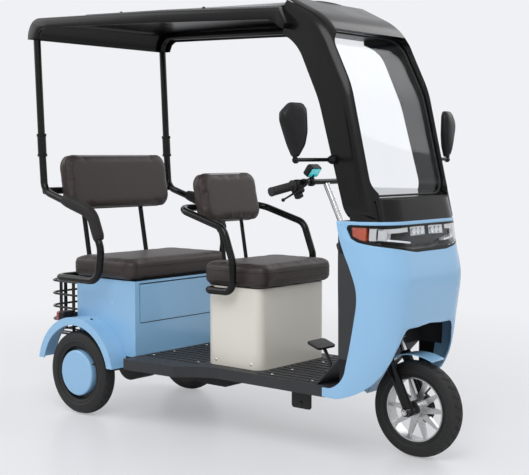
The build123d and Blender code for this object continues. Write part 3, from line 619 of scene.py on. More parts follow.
# Leg shield: toe board, upright panel, shelf and the cover of the steering column
def legShield():
    settings = {"wall": 6.0, "panelX": 1361.0, "toeX": 1256.0, "toeRise": 110.0, "footZ": 284.4, "rimX": 1470.0,
                "columnX": 1218.0, "columnHalf": 46.0, "lowHalf": 96.0, "flare": 44.0, "lowTop": 564.0,
                "lap": 2.0,  # how far the column cover runs ahead of the panel, clear of the mudguard
                "gap": 0.3, "beyond": 40.0, "upperSoft": 14.0, "lowSoft": 10.0,
                # distance ahead of the rear axle, height
                "profile": ((1218.0, 616.0), (1238.0, 632.0), (1224.0, 690.0), (1176.0, 783.0),
                            (1183.0, 806.0))}
    w, px, foot = settings["wall"], settings["panelX"], settings["footZ"]
    half, skinIn, beyond = nose["half"], nose["wall"] + settings["gap"], settings["beyond"]
    toe = prism([(settings["toeX"], foot), (px, foot + settings["toeRise"]), (px, nose["top"]),
                 (px - w, nose["top"]), (px - w, foot + settings["toeRise"]), (settings["toeX"] - w, foot)],
                "Y", -half, half)
    panel = carve(noseForm(skinIn), toe, "INTERSECT")
    skin = layer(skinIn, skinIn + w)
    rim = carve(skin, box(px - w / 2, settings["rimX"], -half, half, foot + settings["toeRise"],
                          nose["lampBottom"] - 1.0), "INTERSECT")
    carve(panel, rim, "UNION")
    shelf = carve(noseForm(skinIn), box(px - w / 2, nose["front"], -half, half, nose["top"] - w,
                                        nose["top"] + 5.0), "INTERSECT")
    carve(panel, shelf, "UNION")
    ahead = px + settings["lap"]
    plan = [(settings["columnX"], settings["columnHalf"]),
            (settings["columnX"] + settings["flare"], settings["lowHalf"]), (ahead, settings["lowHalf"])]
    low = prism(plan + [(x, -y) for x, y in plan[::-1]], "Z", foot, settings["lowTop"])
    inner = [(plan[0][0] + w, plan[0][1] - w), (plan[1][0] + w, plan[1][1] - w),
             (ahead + beyond, plan[2][1] - w)]
    lowInner = prism(inner + [(x, -y) for x, y in inner[::-1]], "Z", foot - beyond, settings["lowTop"] - w)
    profile = list(settings["profile"])
    bumpy = [profile[0]] + flatCurve(profile, 6) + [(px, profile[-1][1]), (px, foot)]
    upper = prism([(settings["columnX"], foot + 1.0)] + bumpy, "Y", -settings["columnHalf"],
                  settings["columnHalf"])
    soften(upper, settings["upperSoft"], 4)
    innerLine = [(x + w, z) for x, z in profile[:-1]]
    upperInner = prism([(settings["columnX"] + w, foot - beyond)] + innerLine
                       + [(profile[-1][0] + w, profile[-1][1] + beyond),
                          (ahead + beyond, profile[-1][1] + beyond), (ahead + beyond, foot - beyond)],
                       "Y", -settings["columnHalf"] + w, settings["columnHalf"] - w)
    soften(low, settings["lowSoft"], 4)
    carve(panel, low, "UNION")
    carve(panel, upper, "UNION")
    carve(panel, lowInner)
    carve(panel, upperInner)
    piece = dress(panel, "legShield", "chassis", finishes["grey_plastic"], 0.0012)
    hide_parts("inner_leg_shield")
    print("leg shield ready")


# Roof: a pressed shell with a rounded rear, side lips and cheeks beside the hood
roof = {"rear": -250.0, "front": 1099.7, "top": 1757.0, "wall": 5.0, "edgeRound": 20.0, "rearRound": 95.0,
        "above": 60.0, "valance": 1657.0, "rearBend": 54.0, "bendRun": 14.0, "bendDrop": 41.0, "depth": 200.0,
        "cheek": 1.04, "panelRear": 82.0, "panelInset": 26.0, "panelHeight": 4.0, "panelHalf": 400.0,
        "panelDeep": 130.0, "rearHalf": 422.0, "frontHalf": 327.0, "hoodHalf": 286.3,
        # share of the length, share of the way from rear to front width, drop of the side, drop of the middle
        "sections": ((0.0, 0.0, 6.0, 0.0), (0.552, 0.53, 28.0, 0.0), (1.0, 1.0, 57.0, 13.0)),
        # share of the length, drop of the lower edge
        "lowerEdge": ((0.0704, 54.0), (0.552, 78.0), (0.9706, 105.0), (0.988, 114.0), (1.003, 128.0),
                      (1.0165, 140.0), (1.033, 123.0))}


def roofLoft(inset, lift):
    # The roof's crowned body, drawn in at its sides by the inset and raised by the lift.
    rings = []
    length = roof["front"] - roof["rear"]
    rows = list(roof["sections"])
    last = rows[-1]
    rows.append((roof["cheek"], 1.0, last[2] * roof["cheek"], last[3] * roof["cheek"]))
    for low, high in zip(rows, rows[1:]):
        steps = 6
        for step in range(steps if high is not rows[-1] else steps + 1):
            t = step / steps
            share, wide, side, middle = [a + (b - a) * t for a, b in zip(low, high)]
            x = roof["rear"] + length * share
            half = roof["rearHalf"] + (roof["frontHalf"] - roof["rearHalf"]) * wide - inset
            top = roof["top"] - side + lift
            crown = roof["top"] - middle + lift
            edge = max(roof["edgeRound"] - inset, roof["wall"])
            right = [(half, roof["top"] - roof["depth"])]
            for k in range(7):
                angle = math.pi / 2 * k / 6
                right.append((half - edge + edge * math.cos(angle), top - edge + edge * math.sin(angle)))
            for k in range(1, 8):
                y = (half - edge) * (1 - k / 8)
                right.append((y, top + (crown - top) * (1 - (y / (half - edge)) ** 2)))
            outline = right + [(0.0, crown)] + [(-y, z) for y, z in right[::-1]]
            rings.append([real(x, y, z) for y, z in outline])
    return solid(*sweepRings(rings))


def roofSide(inset, lower, frontX):
    # The roof's outline seen from the side.
    reach = roof["rearRound"] - inset
    cx, cz = roof["rear"] + roof["rearRound"], roof["top"] - roof["rearRound"]
    outline = [(roof["rear"] + inset, lower[0][1])]
    for k in range(11):
        angle = math.pi - math.pi / 2 * k / 10
        outline.append((cx + reach * math.cos(angle), cz + reach * math.sin(angle)))
    high = roof["top"] + roof["above"]
    outline += [(cx, high), (frontX, high)] + lower[::-1][:-1]
    return prism(outline, "Y", -roof["rearHalf"] - 40.0, roof["rearHalf"] + 40.0)


def roofShell():
    length, high = roof["front"] - roof["rear"], roof["top"] + roof["above"]
    edge = [(roof["rear"] + length * share, roof["top"] - drop) for share, drop in roof["lowerEdge"]]
    innerX = roof["rear"] + roof["rearBend"]
    lower = [(roof["rear"], roof["valance"]), (innerX, roof["valance"]),
             (innerX, edge[0][1] - roof["bendDrop"]),
             (innerX + roof["bendRun"], edge[0][1] - roof["bendRun"])] + edge
    outer = carve(roofLoft(0.0, 0.0), roofSide(0.0, lower, edge[-1][0]), "INTERSECT")
    panel = carve(roofLoft(roof["panelInset"], roof["panelHeight"]),
                  box(roof["panelRear"], roof["front"] + 2.0, -roof["panelHalf"], roof["panelHalf"],
                      roof["top"] - roof["panelDeep"], high), "INTERSECT")
    carve(outer, panel, "UNION")
    low = roof["top"] - roof["depth"]
    inner = carve(roofLoft(roof["wall"], -roof["wall"]),
                  roofSide(roof["wall"], [(roof["rear"] + roof["wall"], low - 1.0),
                                          (roof["front"] - roof["wall"], low - 1.0)],
                           roof["front"] - roof["wall"]), "INTERSECT")
    carve(outer, inner)
    ahead = edge[-1][0] + roof["above"]
    carve(outer, box(roof["front"], ahead, -roof["hoodHalf"], roof["hoodHalf"], low - roof["above"], high))
    cheekTop = (roof["rear"] + length, roof["top"] - roof["sections"][-1][2])
    carve(outer, prism([cheekTop, edge[-1], (ahead, edge[-1][1]), (ahead, high), (cheekTop[0], high)], "Y",
                       -roof["rearHalf"], roof["rearHalf"]))
    piece = dress(outer, "roofShell", "chassis", finishes["black_gloss"], 0.0012, 28.0)
    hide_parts("roof_shell")
    print("roof ready")


def bentTube(points, bend, radius, sides):
    # A round tube along straight runs joined by arcs.
    line = [points[0]]
    for before, corner, after in zip(points, points[1:], points[2:]):
        turn = (corner - before).angle(after - corner)
        a, b = (corner - before).normalized(), (after - corner).normalized()
        start = corner - a * (bend * math.tan(turn / 2))
        centre = corner + (b - a).normalized() * (bend / math.cos(turn / 2))
        steps = max(3, round(turn / 0.12))
        for k in range(steps + 1):
            line.append(centre + Matrix.Rotation(turn * k / steps, 3, a.cross(b)) @ (start - centre))
    line.append(points[-1])
    return tubeAlong(line, radius, sides)


def roofRails():
    # Posts and side rails in one tube a side, with the sleeves that join them to the bench frame.
    settings = {"gauge": 391.0, "jointX": -199.0, "jointZ": 1155.3, "topX": -228.0, "radius": 0.016,
                "bend": 0.070, "endX": 1092.0, "endY": 302.3, "rearZ": 1729.7, "endZ": 1678.7,
                # start, end and radius of the sleeve and of its two collars
                "sleeves": ((0.0, 0.101, 0.0195), (0.0, 0.012, 0.022), (0.089, 0.101, 0.022)),
                "sleeveDrop": 0.016, "bore": 0.0162, "chamfer": 0.0008, "boltsAt": (0.006, 0.095),
                "boltOut": 0.0215, "bolt": (0.0045, 0.005)}
    bore, chamfer = settings["bore"], settings["chamfer"]
    parts = []
    for side in (-1, 1):
        points = [real(settings["jointX"], side * settings["gauge"], settings["jointZ"]),
                  real(settings["topX"], side * settings["gauge"], settings["rearZ"]),
                  real(settings["endX"], side * settings["endY"], settings["endZ"])]
        parts.append(bentTube(points, settings["bend"], settings["radius"], 20))
        foot, head = points[0], points[1]
        along = (head - foot).normalized()
        start = foot - along * settings["sleeveDrop"]
        for low, high, radius in settings["sleeves"]:
            parts.append(lathe(((low, bore), (low, radius - chamfer), (low + chamfer, radius),
                                (high - chamfer, radius), (high, radius - chamfer), (high, bore)),
                               start, along, 24))
        for reach in settings["boltsAt"]:
            for way in (-1, 1):
                spot = start + along * reach + xWay * (settings["boltOut"] * way)
                parts.append(roundBolt(spot, xWay * way, *settings["bolt"]))
    piece = addParts("roofRails", "chassis", "black_tube", parts, 35.0)
    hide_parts("roof_frame")


legShield()
roofShell()
roofRails()


# Soft pieces
def padBlock(settings, place):
    # Closed rounded block in its own axes: x and y across, z through the thickness.
    hx, hy, hz = settings["half"]
    corner = settings["corner"]
    outline = roundedOutline(hx, hy, corner, 10)
    levels = 14
    rings = []
    for i in range(levels + 1):
        angle = math.pi * (i / levels - 0.5)
        level = math.sin(angle)
        z = math.copysign(abs(level) ** 0.8, level) * hz
        pull = (1.0 - max(0.0, math.cos(angle)) ** 0.45) * settings["edge"]
        rings.append([place @ Vector((x * (hx - pull) / hx, y * (hy - pull) / hy, z)) for x, y in outline])
    return sweepRings(rings)


def swell(piece, settings):
    # Remesh, inflate as cloth for twenty frames, hold back what moves too far, then smooth once.
    remesh = piece.modifiers.new("remesh", "REMESH")
    remesh.mode = "VOXEL"
    remesh.voxel_size = settings["voxel"]
    remesh.use_smooth_shade = True
    applyModifiers(piece)
    start = [v.co.copy() for v in piece.data.vertices]
    cloth = piece.modifiers.new("cloth", "CLOTH")
    cloth.settings.use_pressure = True
    cloth.settings.uniform_pressure_force = settings["pressure"]
    cloth.settings.effector_weights.gravity = 0.0
    cloth.settings.tension_stiffness = 12.0
    cloth.settings.quality = 4
    cloth.collision_settings.use_collision = False
    cloth.point_cache.frame_start = 1
    cloth.point_cache.frame_end = 20
    for number in range(1, 21):
        scene.frame_set(number)
    applyModifiers(piece)
    scene.frame_set(1)
    for vertex, before in zip(piece.data.vertices, start):
        move = vertex.co - before
        if move.length > settings["cap"]:
            vertex.co = before + move.normalized() * settings["cap"]
    flatten = settings.get("restHeight")
    if flatten is not None:
        for vertex in piece.data.vertices:
            if vertex.co.z < flatten:
                vertex.co.z = flatten
    soften = piece.modifiers.new("soften", "SMOOTH")
    soften.factor = 0.5
    soften.iterations = 3
    fine = piece.modifiers.new("fine", "SUBSURF")
    fine.levels = 1
    fine.render_levels = 1
    applyModifiers(piece)
    piece.data.polygons.foreach_set("use_smooth", [True] * len(piece.data.polygons))


def seamRing(piece, place, settings, level):
    # A welt of thin cord laid on the skin where a plane at that level meets it.
    far, near, lift = 1.6, 0.2, 0.0004  # rays run from the far to the near share of the outline
    tree = BVHTree.FromPolygons([v.co for v in piece.data.vertices],
                                [tuple(p.vertices) for p in piece.data.polygons])
    hx, hy = settings["half"][:2]
    line = []
    for x, y in roundedOutline(hx, hy, settings["corner"], 14):
        outside = place @ Vector((x * far, y * far, level))
        inside = place @ Vector((x * near, y * near, level))
        hit = tree.ray_cast(outside, (inside - outside).normalized())
        if hit[0] is not None:
            line.append(hit[0] + hit[1] * lift)
    return line


def closedTube(line, radius, sides=8):
    rings = []
    count = len(line)
    for i in range(count + 1):
        point = line[i % count]
        ahead = line[(i + 1) % count] - line[(i - 1) % count]
        u, v = frameAlong(ahead, Vector((0.3, 0.2, 1.0)))[:2]
        rings.append([point + (u * math.cos(a) + v * math.sin(a)) * radius
                      for a in (2 * math.pi * j / sides for j in range(sides))])
    return sweepRings(rings, False)


def cushionPiece(name, nodeName, bodyName, settings, place):
    verts, faces = padBlock(settings, place)
    piece = addPiece(name, bodyName, finishes["seat_leather"], verts, faces)
    swell(piece, settings)
    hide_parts(nodeName)
    seams = [closedTube(seamRing(piece, place, settings, level), settings["seam"])
             for level in settings["seamLevels"]]
    addParts(name + "Seams", bodyName, "seam", seams)
    print(name, "done:", len(piece.data.polygons), "faces")


def flatPlace(nodeName):
    low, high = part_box(nodeName)
    middle = (Vector(low) + Vector(high)) / 2
    return Matrix.Translation(middle), Vector(high) - Vector(low)


def seatCushion(name, nodeName, bodyName, settings):
    # The span holds the rear end, front end and half width, in millimetres.
    place, size = flatPlace(nodeName)
    drop = settings["shrink"]
    rear, front, half = settings["span"]
    place.translation.x = real((rear + front) / 2, 0.0, 0.0).x
    settings["half"] = ((front - rear) / 2000.0 - drop, half / 1000.0 - drop, size.z / 2 - drop * 0.6 + 0.004)
    settings["restHeight"] = place.translation.z - size.z / 2 - 0.005
    cushionPiece(name, nodeName, bodyName, settings, place)


def backCushion(name, nodeName, bodyName, settings):
    # The node is a slab that leans back by its tilt; its thickness runs forward.
    place = flatPlace(nodeName)[0]
    lean = Matrix.Rotation(math.radians(-settings["tilt"]), 4, "Y")
    upright = Matrix(((0.0, 0.0, 1.0, 0.0), (1.0, 0.0, 0.0, 0.0), (0.0, 1.0, 0.0, 0.0), (0.0, 0.0, 0.0, 1.0)))
    drop = settings["shrink"]
    settings["half"] = (settings["wide"] / 2 - drop, settings["tall"] / 2 - drop,
                        settings["thick"] / 2 - drop * 0.6)
    cushionPiece(name, nodeName, bodyName, settings, place @ lean @ upright)


seatCushion("benchCushion", "bench_cushion", "bench_lid",
            {"corner": 0.045, "edge": 0.016, "voxel": 0.007, "pressure": 4.0, "cap": 0.010, "shrink": 0.006,
             "fill": 0.85, "seam": 0.0016, "seamLevels": (0.016, -0.022), "span": (-110.0, 302.0, 332.0)})
seatCushion("driverCushion", "driver_cushion", "driver_seat",
            {"corner": 0.045, "edge": 0.015, "voxel": 0.006, "pressure": 4.0, "cap": 0.010, "shrink": 0.006,
             "fill": 0.85, "seam": 0.0016, "seamLevels": (0.018, -0.022), "span": (615.0, 968.0, 250.0)})
backCushion("benchBackrest", "bench_backrest", "chassis",
            {"corner": 0.060, "edge": 0.015, "voxel": 0.006, "pressure": 4.0, "cap": 0.009, "shrink": 0.005,
             "fill": 0.85, "seam": 0.0015, "seamLevels": (0.014, -0.014), "tilt": 8.0, "wide": 0.656,
             "tall": 0.266, "thick": 0.062})
backCushion("driverBackrest", "driver_backrest", "driver_seat",
            {"corner": 0.055, "edge": 0.015, "voxel": 0.006, "pressure": 4.0, "cap": 0.009, "shrink": 0.005,
             "fill": 0.85, "seam": 0.0015, "seamLevels": (0.013, -0.013), "tilt": 12.0, "wide": 0.388,
             "tall": 0.226, "thick": 0.058})
print("cushions ready")


# Arm pads: a soft sleeve on each arm tube, thick over the bend and thinner at both ends
def armPads():
    settings = {"start": 0.42, "end": 0.75, "wide": 0.0205, "deep": 0.0265, "lift": 0.006, "bend": 0.070,
                "steps": 26, "sides": 28, "square": 0.75, "thin": 0.80, "taper": 0.09, "tube": 16.0,
                "screwShares": (0.12, 0.36, 0.62, 0.86), "screw": (0.0035, 0.003), "screwOut": 0.0002,
                # rear end, bend and knee of the arm's tube
                "arm": ((-187.0, 986.0), (124.0, 891.0), (184.0, 743.0))}
    gauge = 1000.0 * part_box("bench_frame")[1][1] - settings["tube"]
    rear, bend, knee = (real(x, gauge, z) for x, z in settings["arm"])
    first = rear.lerp(bend, settings["start"])
    last = bend.lerp(knee, settings["end"])
    before = (bend - rear).normalized()
    after = (knee - bend).normalized()
    half = before.angle(after) / 2
    reach = settings["bend"] * math.tan(half)
    line = []
    for i in range(settings["steps"]):
        line.append(first.lerp(bend - before * reach, i / settings["steps"]))
    inward = (after - before).normalized()
    centre = bend + inward * (settings["bend"] / math.cos(half))
    arm = (bend - before * reach) - centre
    for i in range(settings["steps"] + 1):
        turn = Matrix.Rotation(2 * half * i / settings["steps"], 3, before.cross(after))
        line.append(centre + turn @ arm)
    for i in range(1, settings["steps"] + 1):
        line.append((bend + after * reach).lerp(last, i / settings["steps"]))
    parts = []
    screws = []

    def outwardAt(number):
        way = (line[min(number + 1, len(line) - 1)] - line[max(number - 1, 0)]).normalized()
        out = way.cross(yWay) * -1
        return out * -1 if out.z < 0 and out.x < 0 else out

    def squared(value):
        return math.copysign(abs(value) ** settings["square"], value)

    for side in (1, -1):
        rings = []
        for i, point in enumerate(line):
            share = i / (len(line) - 1)
            outward = outwardAt(i)
            ease = min(1.0, min(share, 1 - share) / settings["taper"])
            taper = settings["thin"] + (1.0 - settings["thin"]) * math.sin(math.pi / 2 * ease)
            rings.append([Vector((point.x, side * point.y, point.z))
                          + yWay * side * squared(math.cos(a)) * settings["wide"] * taper
                          + outward * (squared(math.sin(a)) * settings["deep"] + settings["lift"]) * taper
                          for a in (2 * math.pi * j / settings["sides"] for j in range(settings["sides"]))])
        if side < 0:
            rings = [ring[::-1] for ring in rings]
        parts.append(sweepRings(rings))
        for share in settings["screwShares"]:
            i = round(share * (len(line) - 1))
            outward = outwardAt(i)
            depth = settings["deep"] - settings["lift"] + settings["screwOut"]
            spot = Vector((line[i].x, side * line[i].y, line[i].z)) - outward * depth
            screws.append(roundBolt(spot, -outward, *settings["screw"]))
    addParts("armPads", "chassis", "softPad", parts)
    addParts("armPadScrews", "chassis", "fork_steel", screws)


# Tyres with their tread: a profile turned around the axle, cut by slanted sipes and by channels
def treadTyre(name, nodeName, bodyName):
    settings = {"steps": 240, "seat": 0.123, "rimWall": 0.005, "share": 0.62, "pitch": 30, "groove": 0.0032,
                "sipe": 0.24, "slant": 0.55, "rows": 26, "wallSteps": 9, "wallFoot": 0.020,
                # distance out and height over the seat of the bead
                "bead": ((-0.027, 0.0), (-0.030, 0.004), (-0.0335, 0.012)),
                # shares of the half tread between which the sipes and channels run
                "sipeReach": (0.16, 1.1), "channel": (0.40, 0.52), "middleChannel": 0.07,
                # height over the seat, distance out and radius of the raised rings beside the rim
                "rings": ((0.010, 0.0339, 0.0012), (0.030, 0.0366, 0.0010)), "ringSteps": 96}
    centre, (_, half, radius) = middleOf(nodeName)
    shoulder = half * settings["share"]
    drop, seat, foot = settings["rimWall"], settings["seat"], settings["wallFoot"]
    profile = [(y, seat + rise) for y, rise in settings["bead"]]
    for i in range(settings["wallSteps"]):
        angle = math.radians(i * 90.0 / (settings["wallSteps"] - 1))
        profile.append((-half + (half - shoulder) * (1 - math.cos(angle)),
                        seat + foot + (radius - drop - seat - foot) * math.sin(angle)))
    crown = []
    for i in range(1, settings["rows"]):
        y = -shoulder + 2 * shoulder * i / settings["rows"]
        crown.append((y, radius - drop * (y / shoulder) ** 2))
    profile = profile + crown + [(-y, r) for y, r in reversed(profile)]
    rings = []
    for i in range(settings["steps"]):
        turn = 2 * math.pi * i / settings["steps"]
        ring = []
        for y, r in profile:
            reach = abs(y) / shoulder
            phase = (settings["pitch"] * i / settings["steps"] + reach * settings["slant"]) % 1.0
            cut = phase < settings["sipe"] and settings["sipeReach"][0] < reach < settings["sipeReach"][1]
            channel = (settings["channel"][0] < reach < settings["channel"][1]
                       or reach < settings["middleChannel"])
            depth = settings["groove"] if cut or channel else 0.0
            ring.append(centre + Vector((math.sin(turn) * (r - depth), y, math.cos(turn) * (r - depth))))
        rings.append(ring)
    verts = [point for ring in rings for point in ring]
    count = len(profile)
    faces = []
    for i in range(settings["steps"]):
        k = (i + 1) % settings["steps"]
        for j in range(count - 1):
            faces.append((i * count + j, i * count + j + 1, k * count + j + 1, k * count + j))
        faces.append((i * count + count - 1, i * count, k * count, k * count + count - 1))
    tyre = addPiece(name, bodyName, finishes["tyre"], verts, faces, smooth=False)
    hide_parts(nodeName)
    raised = []
    for side in (-1, 1):
        for rise, out, thick in settings["rings"]:
            turns = [2 * math.pi * j / settings["ringSteps"] for j in range(settings["ringSteps"])]
            raised.append(closedTube([centre + Vector((math.sin(turn) * (seat + rise), side * out,
                                                       math.cos(turn) * (seat + rise))) for turn in turns],
                                     thick, 6))
    addParts(name + "Rings", bodyName, "tyre", raised)


def valve(name, bodyName, nodeName, y, turn, side):
    # A bent stem with its cap, standing inward from the rim.
    settings = {"inset": 0.012, "radius": 0.0034,
                # way inward along the spoke and out to the side
                "stem": ((0.0, 0.0), (0.008, 0.003), (0.022, 0.008)),
                "cap": ((0.0, 0.0042), (0.010, 0.0042), (0.011, 0.003))}
    centre, half = middleOf(nodeName)
    out = Vector((math.sin(turn), 0.0, math.cos(turn)))
    spot = centre + out * (half[2] - settings["inset"]) + Vector((0, y, 0))
    line = [spot - out * inward + Vector((0, side * aside, 0)) for inward, aside in settings["stem"]]
    addParts(name, bodyName, "rubber_grip",
             [tubeAlong(smoothPath(line, 6), settings["radius"], 10),
              lathe(settings["cap"], line[-1], line[-1] - line[-2], 12)])


armPads()
treadTyre("frontTyre", "front_tyre", "front_wheel")
treadTyre("rearTyreRight", "rear_tyre_right", "rear_wheel_right")
treadTyre("rearTyreLeft", "rear_tyre_left", "rear_wheel_left")
print("pads and tyres ready")


# Places on the steering: x ahead of the steering axis, z along it, in millimetres
steer = {"rake": 26.5, "offset": 15.0, "axle": 185.0, "gauge": 62.0}
rake = math.radians(steer["rake"])
steerAhead = Vector((math.cos(rake), 0.0, math.sin(rake)))
steerUp = Vector((-math.sin(rake), 0.0, math.cos(rake)))
steerFoot = real(1000.0 * wheelbase, 0.0, steer["axle"]) - steerAhead * (steer["offset"] / 1000.0)


def steered(x, y, z):
    return steerFoot + (steerAhead * x + steerUp * z) / 1000.0 + Vector((0.0, y / 1000.0, 0.0))


def axesPlace(middle, across, up):
    # Matrix whose x axis runs across, y axis up and z axis out of both.
    u = across.normalized()
    w = u.cross(up).normalized()
    v = w.cross(u)
    return Matrix(((u.x, v.x, w.x, middle.x), (u.y, v.y, w.y, middle.y), (u.z, v.z, w.z, middle.z),
                   (0.0, 0.0, 0.0, 1.0)))


def roundBlock(middle, across, up, half, corner, edge):
    # A block with rounded corners and edges; its settings hold the half sizes, corner and edge.
    return padBlock({"half": half, "corner": corner, "edge": edge}, axesPlace(middle, across, up))


# Grips, switch pods, buttons and brake levers at both ends of the handlebar
def handlebarParts():
    settings = {"bend": (0.0, 125.16, 963.0), "end": (-46.0, 298.0, 947.0), "bore": 0.0112,
                # shares of the bar between its bend and its end
                "gripFrom": 0.38, "gripShare": 0.65, "podAt": 0.275, "perchAt": 0.115,
                "grip": 0.0165, "rib": 0.0011, "ribStep": 0.0065,
                "ribTurn": (0.0012, 0.0040, 0.0052), "ribFrom": 0.012, "ribEnd": 0.010,
                "flange": ((0.0, 0.0225), (0.003, 0.0232), (0.006, 0.0222)), "flangeEnd": 0.009,
                # distance before the end and height over the grip of its cap
                "gripCap": ((0.007, 0.002), (0.002, 0.0015), (0.0, -0.003)),
                "pod": ((0.021, 0.028, 0.0175), 0.010, 0.004), "podDrop": 0.010,
                "podFoot": ((0.014, 0.014, 0.013), 0.006, 0.003), "footBack": 0.006, "footDrop": 0.030,
                # height on the pod, radius and length of each button
                "buttons": ((0.010, 0.0058, 0.004), (-0.006, 0.0045, 0.005), (-0.018, 0.0038, 0.004)),
                "podFace": 0.0205,
                "perch": 0.0165, "perchHalf": 0.011,
                "perchBlock": ((0.010, 0.008, 0.010), 0.003, 0.002), "blockAhead": 0.014,
                # way ahead, outward and down from the lever's root
                "leverLine": ((0.0, 0.0, 0.0), (0.022, 0.010, 0.004), (0.030, 0.040, 0.022),
                              (0.024, 0.105, 0.040), (0.020, 0.158, 0.052)),
                "rootAhead": 0.018, "lever": 0.0046, "leverTaper": (1.25, 0.45),
                "ball": ((-0.0075, 0.001), (-0.006, 0.0045), (-0.003, 0.0068), (0.0, 0.0075), (0.003, 0.0068),
                         (0.006, 0.0045), (0.0075, 0.001))}
    grips, pods, levers, bits = [], [], [], []
    for side in (-1, 1):
        bend, end = (steered(x, side * y, z) for x, y, z in (settings["bend"], settings["end"]))
        along = end - bend
        way = along.normalized()
        length = along.length * settings["gripShare"]
        low, high = settings["grip"], settings["grip"] + settings["rib"]
        profile = [(0.0, settings["bore"]), *settings["flange"], (settings["flangeEnd"], low)]
        reach = settings["ribFrom"]
        while reach < length - settings["ribEnd"]:
            profile += [(reach, low), (reach + settings["ribTurn"][0], high),
                        (reach + settings["ribTurn"][1], high), (reach + settings["ribTurn"][2], low)]
            reach += settings["ribStep"]
        profile += [(length - before, low + rise) for before, rise in settings["gripCap"]] + [(length, 0.002)]
        grips.append(lathe(profile, bend + along * settings["gripFrom"], way, 24))
        middle = bend + along * settings["podAt"] - zWay * settings["podDrop"]
        pods.append(roundBlock(middle, steerAhead, steerUp, *settings["pod"]))
        pods.append(roundBlock(middle - steerAhead * settings["footBack"] - steerUp * settings["footDrop"],
                               steerAhead, steerUp, *settings["podFoot"]))
        for rise, radius, tall in settings["buttons"]:
            bits.append(lathe(((0.0, radius), (tall * 0.8, radius), (tall, radius * 0.7)),
                              middle - steerAhead * settings["podFace"] + steerUp * rise, -steerAhead, 16))
        perch = bend + along * settings["perchAt"]
        outer, bore, wide = settings["perch"], settings["bore"], settings["perchHalf"]
        levers.append(lathe(((-wide, bore), (-wide, outer), (wide, outer), (wide, bore)), perch, way, 24))
        root = perch + steerAhead * settings["rootAhead"]
        line = [root + steerAhead * x + way * y - steerUp * z for x, y, z in settings["leverLine"]]
        thick, thin = (settings["lever"] * part for part in settings["leverTaper"])
        levers.append(tubeAlong(smoothPath(line, 8), lambda share: thick - thin * share, 12))
        levers.append(lathe(settings["ball"], line[-1], way, 14))
        levers.append(roundBlock(perch + steerAhead * settings["blockAhead"], way, steerUp,
                                 *settings["perchBlock"]))
    for parts, name, slotName, finishName in ((grips, "grips", "black_plastic", "rubber_grip"),
                                              (pods, "switchPods", "black_plastic", "black_plastic"),
                                              (levers, "brakeLevers", "black_tube", "black_tube"),
                                              (bits, "switchButtons", "black_plastic", "switchGrey")):
        addParts(name, "steering", finishName, parts, 38.0)


def displayParts():
    # The case on its neck, with a screen toward the driver and a lit one toward the front.
    settings = {"y": -94.0, "place": (26.0, 1000.0), "up": (0.6, 0.0, 0.8),
                "case": ((0.034, 0.024, 0.014), 0.009, 0.005),
                "screen": ((0.029, 0.019, 0.0016), 0.005, 0.0006), "screenOut": 0.0135,
                "neck": ((4.0, 966.0), (16.0, 985.0), (24.0, 996.0)), "neckRadius": 0.009,
                "clamp": ((-0.009, 0.0112), (-0.009, 0.017), (0.009, 0.017), (0.009, 0.0112)), "clampAt": 963.0}
    y, up = settings["y"], Vector(settings["up"])
    middle = steered(settings["place"][0], y, settings["place"][1])
    addParts("displayCase", "steering", "black_plastic",
             [roundBlock(middle, yWay, up, *settings["case"]),
              tubeAlong([steered(x, y, z) for x, z in settings["neck"]], settings["neckRadius"], 14),
              lathe(settings["clamp"], steered(0.0, y, settings["clampAt"]), yWay, 24)])
    out = yWay.cross(up).normalized() * settings["screenOut"]
    addParts("displayScreen", "steering", "screen",
             [roundBlock(middle + out * way, yWay, up, *settings["screen"]) for way in (1, -1)])


def forkParts():
    # Sleeves, axle caps and nuts on the fork legs.
    settings = {"sleeve": ((-0.020, 0.004), (-0.020, 0.013), (-0.016, 0.0185), (0.0, 0.0196), (0.205, 0.0196),
                           (0.207, 0.0212), (0.222, 0.0212), (0.226, 0.0185), (0.226, 0.0142)),
                "cap": ((-0.004, 0.004), (-0.004, 0.0165), (0.024, 0.0165), (0.026, 0.014)), "capOut": 0.006,
                "nut": ((0.0, 0.0125), (0.004, 0.0125), (0.004, 0.0095), (0.011, 0.0095), (0.0125, 0.008)),
                "nutOut": 0.0315, "ring": ((0.0, 0.0200), (0.006, 0.0205), (0.012, 0.0200)),
                "ringsAt": (0.05, 0.16)}
    parts, bright = [], []
    for side in (-1, 1):
        foot = steered(steer["offset"], side * steer["gauge"], 0.0)
        out = yWay * side
        parts.append(lathe(settings["sleeve"], foot, steerUp, 28))
        parts.append(lathe(settings["cap"], foot + out * settings["capOut"], out, 24))
        bright.append(lathe(settings["nut"], foot + out * settings["nutOut"], out, 6))
        parts += [lathe(settings["ring"], foot + steerUp * reach, steerUp, 28) for reach in settings["ringsAt"]]
    addParts("forkSleeves", "steering", "black_tube", parts, 35.0)
    addParts("forkNuts", "steering", "fork_steel", bright, smooth=False)


